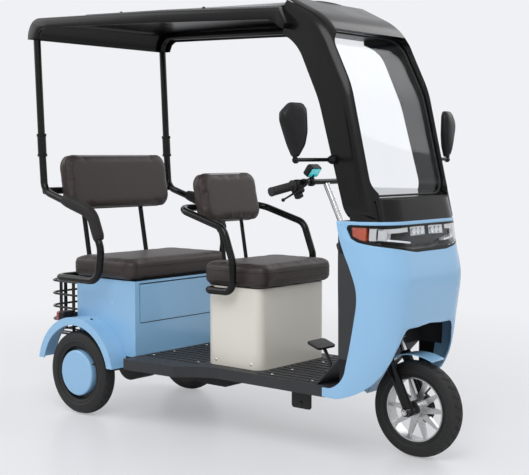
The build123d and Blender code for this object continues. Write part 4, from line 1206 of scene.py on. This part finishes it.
# Mirror heads, faces and joints
def mirrors():
    settings = {"x": 1340.0, "y": 523.0, "z": 1234.0, "turn": 12.0, "scale": 0.816, "cut": 0.16,
                "cutMiddle": 0.05,
                # way from the middle toward the vehicle, height
                "outline": ((-16.0, 95.0), (50.0, 94.0), (72.0, 74.0), (77.0, -7.0), (64.0, -54.0),
                            (28.0, -96.0), (2.0, -94.0), (-26.0, -52.0), (-66.0, 30.0), (-66.0, 60.0)),
                # share of the outline and way ahead of the middle
                "headRings": ((0.90, -0.0150), (0.99, -0.0150), (1.0, -0.0120), (1.0, -0.004), (0.97, 0.004),
                              (0.88, 0.011), (0.70, 0.016), (0.40, 0.019)),
                "faceRings": ((0.89, -0.0146), (0.89, -0.0156), (0.87, -0.0160)),
                "footIn": 12.0, "footDrop": 107.0, "rootY": 300.0, "rootDrop": 105.0, "neckRadius": 0.0075,
                "neckFoot": ((0.004, -0.004), (0.006, 0.012)), "neckTop": (-0.006, -0.080),  # outward and up
                "ball": ((-0.010, 0.002), (-0.009, 0.009), (-0.004, 0.0115), (0.004, 0.0115), (0.009, 0.009),
                         (0.010, 0.002)),
                "root": ((-0.012, 0.017), (0.0, 0.017), (0.004, 0.014), (0.016, 0.011), (0.022, 0.0075))}
    loop = [Vector((a * settings["scale"] / 1000.0, b / 1000.0, 0.0)) for a, b in settings["outline"]]
    cut, cutMiddle = settings["cut"], settings["cutMiddle"]
    soft = []
    for i, corner in enumerate(loop):
        before, after = loop[i - 1] - corner, loop[(i + 1) % len(loop)] - corner
        soft += [corner + before * cut, corner + before * cutMiddle + after * cutMiddle, corner + after * cut]
    heads, glass, joints = [], [], []
    for side in (-1, 1):
        centre = real(settings["x"], side * settings["y"], settings["z"])
        turn = Matrix.Rotation(math.radians(settings["turn"]) * side, 3, "Z")
        inward, ahead = turn @ Vector((0.0, -side, 0.0)), turn @ xWay
        for made, rings in ((heads, settings["headRings"]), (glass, settings["faceRings"])):
            made.append(sweepRings([[centre + inward * p.x * share + zWay * p.y * share + ahead * out
                                     for p in soft] for share, out in rings]))
        foot = real(settings["x"], side * (settings["y"] - settings["footIn"]),
                    settings["z"] - settings["footDrop"])
        line = [foot + Vector((0, side * out, up)) for out, up in settings["neckFoot"]]
        line.append(centre + Vector((0, side * settings["neckTop"][0], settings["neckTop"][1])))
        joints.append(tubeAlong(smoothPath(line, 6), settings["neckRadius"], 12))
        joints.append(lathe(settings["ball"], foot, yWay, 16))
        joints.append(lathe(settings["root"], real(settings["x"], side * settings["rootY"],
                                                   settings["z"] - settings["rootDrop"]), yWay * side, 20))
    piece = addParts("mirrorHeads", "chassis", "black_plastic", heads, 40.0)
    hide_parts("mirror_heads")
    addParts("mirrorFaces", "chassis", "mirror_glass", glass, 40.0)
    addParts("mirrorJoints", "chassis", "black_tube", joints, 40.0)


def rearLamps():
    settings = {"case": ((-114.0, 334.0, 424.0), ((0.034, 0.024, 0.018), 0.009, 0.003)),
                "arm": ((-94.0, 286.0, 424.0), ((0.030, 0.016, 0.009), 0.004, 0.002)),
                "lens": ((-140.0, 334.0, 424.0), ((0.032, 0.022, 0.009), 0.009, 0.004))}
    made = {key: [roundBlock(real(x, side * y, z), yWay, zWay, *shape) for side in (-1, 1)]
            for key, ((x, y, z), shape) in settings.items()}
    cases = [block for pair in zip(made["case"], made["arm"]) for block in pair]
    addParts("rearLampCases", "chassis", "black_plastic", cases)
    addParts("rearLampLenses", "chassis", "red_lens", made["lens"])


def brakePedal():
    # The pedal on its bent arm, with six ribs across the plate.
    settings = {"base": (1241.0, -175.0, 304.0), "plate": (1184.0, -152.0, 414.0), "lean": 20.0,
                "baseShape": ((0.015, 0.017, 0.015), 0.005, 0.003), "arm": 0.007,
                "armFoot": (0.004, 0.0, 0.04), "armHead": (-0.02, -0.004, 0.03),
                "plateShape": ((0.056, 0.033, 0.0045), 0.014, 0.002), "ribs": 6, "firstRib": -0.024,
                "ribStep": 0.0096, "ribRise": 0.0050, "ribShape": ((0.048, 0.0022, 0.0014), 0.002, 0.0006)}
    base, plate = real(*settings["base"]), real(*settings["plate"])
    angle = math.radians(settings["lean"])
    lean = Vector((math.cos(angle), 0.0, -math.sin(angle)))
    line = [base, base + Vector(settings["armFoot"]), plate - Vector(settings["armHead"]), plate]
    parts = [roundBlock(base, yWay, zWay, *settings["baseShape"]),
             tubeAlong(smoothPath(line, 6), settings["arm"], 12),
             roundBlock(plate, yWay, lean, *settings["plateShape"])]
    for i in range(settings["ribs"]):
        spot = (plate + lean * (settings["firstRib"] + settings["ribStep"] * i)
                - lean.cross(yWay) * settings["ribRise"])
        parts.append(roundBlock(spot, yWay, lean, *settings["ribShape"]))
    addParts("brakePedal", "chassis", "frame_paint", parts)


def stepBrackets():
    settings = {"blocks": (((1130.0, 188.0, 250.0), ((0.020, 0.012, 0.018), 0.004, 0.002)),
                           ((1132.0, 209.0, 212.0), ((0.0475, 0.049, 0.003), 0.012, 0.001))),
                "bolts": ((1105.0, 236.0), (1158.0, 236.0), (1132.0, 184.0)), "boltsOut": 212.0}
    parts = []
    for side in (-1, 1):
        parts += [roundBlock(real(x, side * y, z), xWay, zWay, *shape)
                  for (x, y, z), shape in settings["blocks"]]
        parts += [roundBolt(real(x, side * settings["boltsOut"], z), yWay * side, 0.006, 0.005)
                  for x, z in settings["bolts"]]
    addParts("stepBrackets", "chassis", "frame_paint", parts)


handlebarParts()
displayParts()
forkParts()
mirrors()
rearLamps()
brakePedal()
stepBrackets()
print("steering parts, mirrors and lamps ready")


# Small parts that sit on the skin of a node or of a finished piece
def skinOf(name):
    mesh = (nodes[name] if name in nodes else bpy.data.objects[name]).data
    return BVHTree.FromPolygons([v.co.copy() for v in mesh.vertices],
                                [tuple(p.vertices) for p in mesh.polygons])


def onSkin(tree, start, direction):
    # Place and normal where a ray meets the skin, or None twice.
    return tree.ray_cast(start, direction)[:2]


def boltsOn(name, nodeName, bodyName, slotName, places, radius, height):
    tree = skinOf(nodeName)
    parts = []
    for start, direction in places:
        spot, normal = onSkin(tree, start, direction)
        if spot is None:
            continue
        if normal.dot(direction) > 0:
            normal = -normal
        parts.append(roundBolt(spot - normal * 0.0003, normal, radius, height))
    if parts:
        addParts(name, bodyName, slotName, parts)
    print(name, len(parts))


def patchOn(tree, rows, direction, inset, thickness):
    # A shell of even thickness behind the skin, over a grid of starting points.
    front, back = [], []
    for row in rows:
        spots = [onSkin(tree, start, direction)[0] for start in row]
        if None in spots:
            return None
        front.append([spot + direction * inset for spot in spots])
        back.append([spot + direction * (inset + thickness) for spot in spots])
    height, width = len(rows), len(rows[0])
    verts = [p for row in front for p in row] + [p for row in back for p in row]
    offset = height * width
    faces = []
    for i in range(height - 1):
        for j in range(width - 1):
            a, b, c, d = i * width + j, i * width + j + 1, (i + 1) * width + j + 1, (i + 1) * width + j
            faces.append((a, b, c, d))
            faces.append((offset + d, offset + c, offset + b, offset + a))
    loop = ([j for j in range(width)] + [i * width + width - 1 for i in range(1, height)]
            + [(height - 1) * width + j for j in range(width - 2, -1, -1)]
            + [i * width for i in range(height - 2, 0, -1)])
    for index, a in enumerate(loop):
        b = loop[(index + 1) % len(loop)]
        faces.append((b, a, offset + a, offset + b))
    return verts, faces


def gridStarts(corners, across, up):
    # Rows of points between four corners.
    a, b, c, d = corners
    rows = []
    for i in range(up + 1):
        left = a.lerp(d, i / up)
        right = b.lerp(c, i / up)
        rows.append([left.lerp(right, j / across) for j in range(across + 1)])
    return rows


# Reflectors, light guides and bowls behind the lamp cover
def lampInsides():
    settings = {"frontDepth": 0.012, "sideDepth": 0.010, "thick": 0.025, "far": 2600.0, "out": 500.0,
                "sideGrid": (5, 5), "frontGrid": (10, 4),
                "sidePanes": ((1483, 836, 1506, 880), (1511, 838, 1535, 874)),  # x and z of two corners
                # outer and inner y, outer and inner z, height
                "strip": (236, 118, 836, 822, 7), "blocks": ((112, 14, 850, 852, 32), (232, 128, 862, 866, 16)),
                "bowlsAt": (36, 64, 92), "bowlZ": 866,
                "bowl": ((0.0, 0.0115), (0.004, 0.0122), (0.005, 0.010), (0.001, 0.0004))}
    lens = skinOf("lampLens")
    silver, white = [], []
    far, out = settings["far"], settings["out"]
    for side in (-1, 1):
        for x0, z0, x1, z1 in settings["sidePanes"]:
            corners = [real(x, side * out, z) for x, z in ((x0, z0), (x1, z0), (x1, z1), (x0, z1))]
            silver.append(patchOn(lens, gridStarts(corners, *settings["sideGrid"]), -yWay * side,
                                  settings["sideDepth"], settings["thick"]))
        for made, (y0, y1, z0, z1, tall) in ((white, settings["strip"]), (silver, settings["blocks"][0]),
                                             (silver, settings["blocks"][1])):
            corners = [real(far, side * y, z)
                       for y, z in ((y0, z0), (y1, z1), (y1, z1 + tall), (y0, z0 + tall))]
            made.append(patchOn(lens, gridStarts(corners, *settings["frontGrid"]), -xWay,
                                settings["frontDepth"], settings["thick"]))
        for y in settings["bowlsAt"]:
            spot = onSkin(lens, real(far, side * y, settings["bowlZ"]), -xWay)[0]
            if spot is not None:
                white.append(lathe(settings["bowl"], spot - xWay * settings["frontDepth"], xWay, 20))
    silver, white = [part for part in silver if part], [part for part in white if part]
    addParts("lampReflectors", "chassis", "fork_steel", silver, smooth=False)
    addParts("lampGuides", "chassis", "lampWhite", white, smooth=False)
    print("lamp insides", len(silver), len(white))


def copyOf(nodeName, widen=1.0):
    mesh = nodes[nodeName].data
    return loose([Vector((v.co.x, v.co.y * widen, v.co.z)) for v in mesh.vertices],
                 [tuple(p.vertices) for p in mesh.polygons])


# Screen frame and pane: the opening and the pane reach close to the pillars' outer sides
def widerScreen():
    settings = {"half": 262.0, "low": 992.0, "high": 1610.0, "corner": 0.066, "tuck": 2.0, "rear": 1100.0,
                "front": 1700.0}
    frameTool = copyOf("windscreen_frame")
    middle = (settings["low"] + settings["high"]) / 2
    outline = [(1000.0 * y, middle + 1000.0 * z) for y, z in
               roundedOutline(settings["half"] / 1000.0, (settings["high"] - settings["low"]) / 2000.0,
                              settings["corner"], 10)]
    carve(frameTool, prism(outline, "X", settings["rear"], settings["front"]))
    piece = dress(frameTool, "screenFrame", "chassis", finishes["black_gloss"])
    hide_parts("windscreen_frame")
    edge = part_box("windscreen_glass")[1][1]
    pane = copyOf("windscreen_glass", (settings["half"] - settings["tuck"]) / 1000.0 / edge)
    piece = dress(pane, "screenPane", "chassis", finishes["clear_glass"])
    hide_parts("windscreen_glass")


def glassSeal():
    # A cord around the pane, laid on its outer skin.
    settings = {"half": 0.2600, "bottom": 990.0, "top": 1612.0, "corner": 0.064, "inset": 0.006,
                "radius": 0.0042, "ahead": 1.6, "step": 0.03}
    tree = skinOf("screenPane")
    middle = (settings["bottom"] + settings["top"]) / 2000.0
    tall = (settings["top"] - settings["bottom"]) / 2000.0

    def onPane(y, z):
        return onSkin(tree, Vector((settings["ahead"], y, z)), -xWay)[0]

    outline = roundedOutline(settings["half"] - settings["inset"], tall - settings["inset"],
                             settings["corner"], 14)
    line = [spot for spot in (onPane(y, middle + z) for y, z in outline) if spot is not None]
    dense = []
    for i, point in enumerate(line):
        ahead = line[(i + 1) % len(line)]
        cuts = max(1, round((ahead - point).length / settings["step"]))
        for k in range(cuts):
            mid = point.lerp(ahead, k / cuts)
            spot = onPane(mid.y, mid.z)
            dense.append(mid if spot is None else spot)
    addParts("glassSeal", "chassis", "rubber_grip", [closedTube(dense, settings["radius"], 8)])


def hardware():
    # Bolts and screws: x and y of each, dropped on a skin from above or pushed on from the side.
    settings = {"roofX": (-215, 245, 700), "roofY": 330, "roofTaper": 0.05, "roofAbove": 1900,
                "floorX": (335, 600, 1000, 1200), "floorY": (-229, -104, 104, 229), "floorAbove": 420,
                "boxX": (690, 880), "boxZ": 305, "boxBeside": 400,
                "fenderX": (-60, 60), "fenderY": 340, "fenderAbove": 700,
                # radius and height of the heads
                "roofBolt": (0.006, 0.005), "floorScrew": (0.0042, 0.0025), "boxScrew": (0.004, 0.0022),
                "fenderScrew": (0.005, 0.003)}
    boltsOn("roofBolts", "roofShell", "chassis", "black_tube",
            [(real(x, side * (settings["roofY"] - x * settings["roofTaper"]), settings["roofAbove"]), -zWay)
             for x in settings["roofX"] for side in (-1, 1)], *settings["roofBolt"])
    boltsOn("floorScrews", "floor_board", "chassis", "fork_steel",
            [(real(x, y, settings["floorAbove"]), -zWay)
             for x in settings["floorX"] for y in settings["floorY"]], *settings["floorScrew"])
    for side, name in ((-1, "Right"), (1, "Left")):
        boltsOn("seatBoxScrews" + name, "seat_box", "chassis", "fork_steel",
                [(real(x, side * settings["boxBeside"], settings["boxZ"]), -yWay * side)
                 for x in settings["boxX"]], *settings["boxScrew"])
        boltsOn("fenderScrews" + name, "rear_fender_" + name.lower(), "chassis", "black_plastic",
                [(real(x, side * settings["fenderY"], settings["fenderAbove"]), -zWay)
                 for x in settings["fenderX"]], *settings["fenderScrew"])


def hoodFoot():
    # Closes the corner between the screen pillars and the panel over the lamps.
    settings = {"low": 899.0, "high": 984.0, "inset": 4.0, "wall": 5.0, "lean": 0.27, "draw": 0.06,
                "corner": 132.0, "reach": 150.0, "narrow": 0.993}
    share = curveTable(nose["sections"], 1.0, 2)

    def outlineAt(z, inset):
        up = max(0.0, z - nose["top"])
        front = nose["front"] - nose["setback"] * share - inset - up * settings["lean"]
        half = nose["half"] * settings["narrow"] - inset - up * settings["draw"]
        corner = settings["corner"]
        line = [(front - settings["reach"], half)]
        line += [(front - corner + corner * math.sin(a), half - corner + corner * math.cos(a))
                 for a in (math.pi / 2 * i / 12 for i in range(13))]
        return [real(x, -y, z) for x, y in line] + [real(x, y, z) for x, y in line[::-1]]

    outer, inner = settings["inset"], settings["inset"] + settings["wall"]
    loops = [outlineAt(settings["low"], outer), outlineAt(settings["high"], outer),
             outlineAt(settings["high"], inner), outlineAt(settings["low"], inner)]
    addParts("hoodFoot", "chassis", "black_gloss",
             [sweepRings([list(ring) for ring in zip(*loops)])], 35.0)


def wheelDetails():
    # The front brake drum with its cooling ribs, and the valves.
    settings = {"hub": ((-0.036, 0.010), (-0.036, 0.020), (-0.030, 0.027), (0.006, 0.027), (0.008, 0.052)),
                "ribs": 3, "ribStep": 0.007,
                "rib": ((0.011, 0.056), (0.012, 0.059), (0.015, 0.059), (0.016, 0.056)),
                "end": ((0.034, 0.050), (0.036, 0.040), (0.036, 0.012)),
                # name, body, rim, place across, turn around the wheel and side of each valve
                "valves": (("frontValve", "front_wheel", "front_rim", -0.012, 0.6, -1),
                           ("rearValveRight", "rear_wheel_right", "rear_rim_right", -0.020, 1.1, -1),
                           ("rearValveLeft", "rear_wheel_left", "rear_rim_left", 0.020, 1.1, 1))}
    ribs = [(out + settings["ribStep"] * i, radius) for i in range(settings["ribs"])
            for out, radius in settings["rib"]]
    drum = lathe([*settings["hub"], *ribs, *settings["end"]],
                 real(1000.0 * wheelbase, 0.0, steer["axle"]), yWay, 48)
    addParts("frontDrum", "front_wheel", "black_plastic", [drum], 35.0)
    for row in settings["valves"]:
        valve(*row)


def archLiner():
    # Black inner cheeks close the view past the front wheel.
    settings = {"clear": 0.8, "wall": 4.0,
                "side": ((1361.0, 300.0), (1420.0, 300.0), (1440.0, 420.0), (1440.0, 880.0), (1361.0, 880.0))}
    liner = layer(nose["wall"] + settings["clear"], nose["wall"] + settings["wall"])
    wide = nose["half"] + nose["spare"]
    carve(liner, prism(list(settings["side"]), "Y", -wide, wide), "INTERSECT")
    dress(liner, "archLiner", "chassis", finishes["black_plastic"])


def seatPan():
    settings = {"trim": 0.020, "corner": 0.030, "edge": 0.0012}
    middle, half = middleOf("seat_base")
    trimmed = (half[0] - settings["trim"], half[1] - settings["trim"], half[2])
    piece = addParts("seatPan", "driver_seat", "frame_paint",
                     [roundBlock(middle, xWay, yWay, trimmed, settings["corner"], settings["edge"])], 40.0)
    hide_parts("seat_base")


def flapSeal():
    # A strip under the storage flap's lower edge, clear of the opened flap.
    settings = {"tall": 0.0040, "out": 0.0004, "drop": 0.0020, "deep": 0.004, "wider": 0.002, "corner": 0.001,
                "edge": 0.0003}
    low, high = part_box("storage_flap")
    middle = Vector((high[0] + settings["out"] - settings["deep"], 0.0,
                     low[2] - settings["drop"] - settings["tall"] / 2))
    half = (high[1] + settings["wider"], settings["tall"] / 2, settings["deep"])
    addParts("flapSeal", "chassis", "rubber_grip",
             [roundBlock(middle, yWay, zWay, half, settings["corner"], settings["edge"])])


def stayTops():
    # The stays run on into the driver's backrest.
    settings = {"foot": (583.0, 832.0), "top": (566.0, 915.0), "y": 70.0, "radius": 0.008}
    addParts("stayTops", "driver_seat", "black_tube",
             [tubeAlong([real(x, side * settings["y"], z) for x, z in (settings["foot"], settings["top"])],
                        settings["radius"], 14) for side in (-1, 1)])


widerScreen()
archLiner()
stayTops()
seatPan()
flapSeal()
glassSeal()
lampInsides()
hoodFoot()
wheelDetails()
hardware()
print("small parts ready")


# Floor, backdrop and light
def studio():
    settings = {"floorHalf": 30.0, "shadowShare": 0.62, "fadeStart": 1.4, "fadeEnd": 4.2, "worldLevel": 0.50,
                "backColour": (0.875, 0.880, 0.905, 1.0), "aim": (0.0, 0.0, 0.8),
                # place, size and power
                "lights": (("keyLight", (2.2, -3.2, 4.2), 3.4, 125.0),
                           ("fillLight", (-3.4, -2.2, 3.2), 3.5, 55.0),
                           ("farLight", (1.5, 3.6, 3.4), 3.5, 55.0))}
    bpy.ops.mesh.primitive_plane_add(size=2 * settings["floorHalf"])
    floor = bpy.context.object
    floor.name = "studioFloor"
    f = Finish("paleStudioFloor", {"Base Color": (0.86, 0.86, 0.875, 1.0), "Roughness": 0.35})
    path = f.node("ShaderNodeLightPath", output="Is Camera Ray")
    away = f.node("ShaderNodeVectorMath", {"operation": "LENGTH"}, {0: f.place()}, output="Value")
    fade = f.node("ShaderNodeMapRange", {"interpolation_type": "SMOOTHSTEP"},
                  {"Value": away, "From Min": settings["fadeStart"], "From Max": settings["fadeEnd"],
                   "To Min": 1.0 - settings["shadowShare"], "To Max": 1.0})
    glow = f.node("ShaderNodeEmission", {}, {"Color": settings["backColour"], "Strength": 1.0})
    mixed = f.node("ShaderNodeMixShader", {}, {0: path * fade, 1: Wire(f.tree, f.shader.outputs[0]), 2: glow})
    output = next(node for node in f.tree.nodes if node.type == "OUTPUT_MATERIAL")
    f.tree.links.new(mixed.socket, output.inputs["Surface"])
    floor.data.materials.append(f.material)
    world = bpy.data.worlds.new("studioWorld")
    scene.world = world
    world.use_nodes = True
    tree = world.node_tree
    background = tree.nodes["Background"]
    lightPath = tree.nodes.new("ShaderNodeLightPath")
    seen = (Wire(tree, lightPath.outputs["Is Camera Ray"]) + Wire(tree, lightPath.outputs["Is Glossy Ray"])
            + Wire(tree, lightPath.outputs["Is Transmission Ray"]))
    seen = seen.maths("MINIMUM", 1.0)
    feed(tree, background.inputs["Strength"], seen * (1.0 - settings["worldLevel"]) + settings["worldLevel"])
    background.inputs["Color"].default_value = settings["backColour"]
    for name, place, size, power in settings["lights"]:
        lamp = bpy.data.lights.new(name, "AREA")
        lamp.shape = "DISK"
        lamp.size = size
        lamp.energy = power
        holder = bpy.data.objects.new(name, lamp)
        scene.collection.objects.link(holder)
        holder.location = place
        aim = Vector(settings["aim"]) - Vector(place)
        holder.rotation_euler = aim.to_track_quat("-Z", "Y").to_euler()


def photoCamera():
    settings = {"place": (3.0697, -3.5721, 1.1442), "azimuth": 40.03, "pitch": -4.215, "lens": 75.8,
                "sensor": 36.0}
    lens = bpy.data.cameras.new("photoCamera")
    lens.lens = settings["lens"]
    lens.sensor_width = settings["sensor"]
    holder = bpy.data.objects.new("photoCamera", lens)
    scene.collection.objects.link(holder)
    holder.location = settings["place"]
    holder.rotation_euler = (math.radians(90.0 + settings["pitch"]), 0.0, math.radians(settings["azimuth"]))
    scene.camera = holder


photoCamera()
studio()
scene.view_settings.view_transform = "Standard"
print("camera and studio ready")
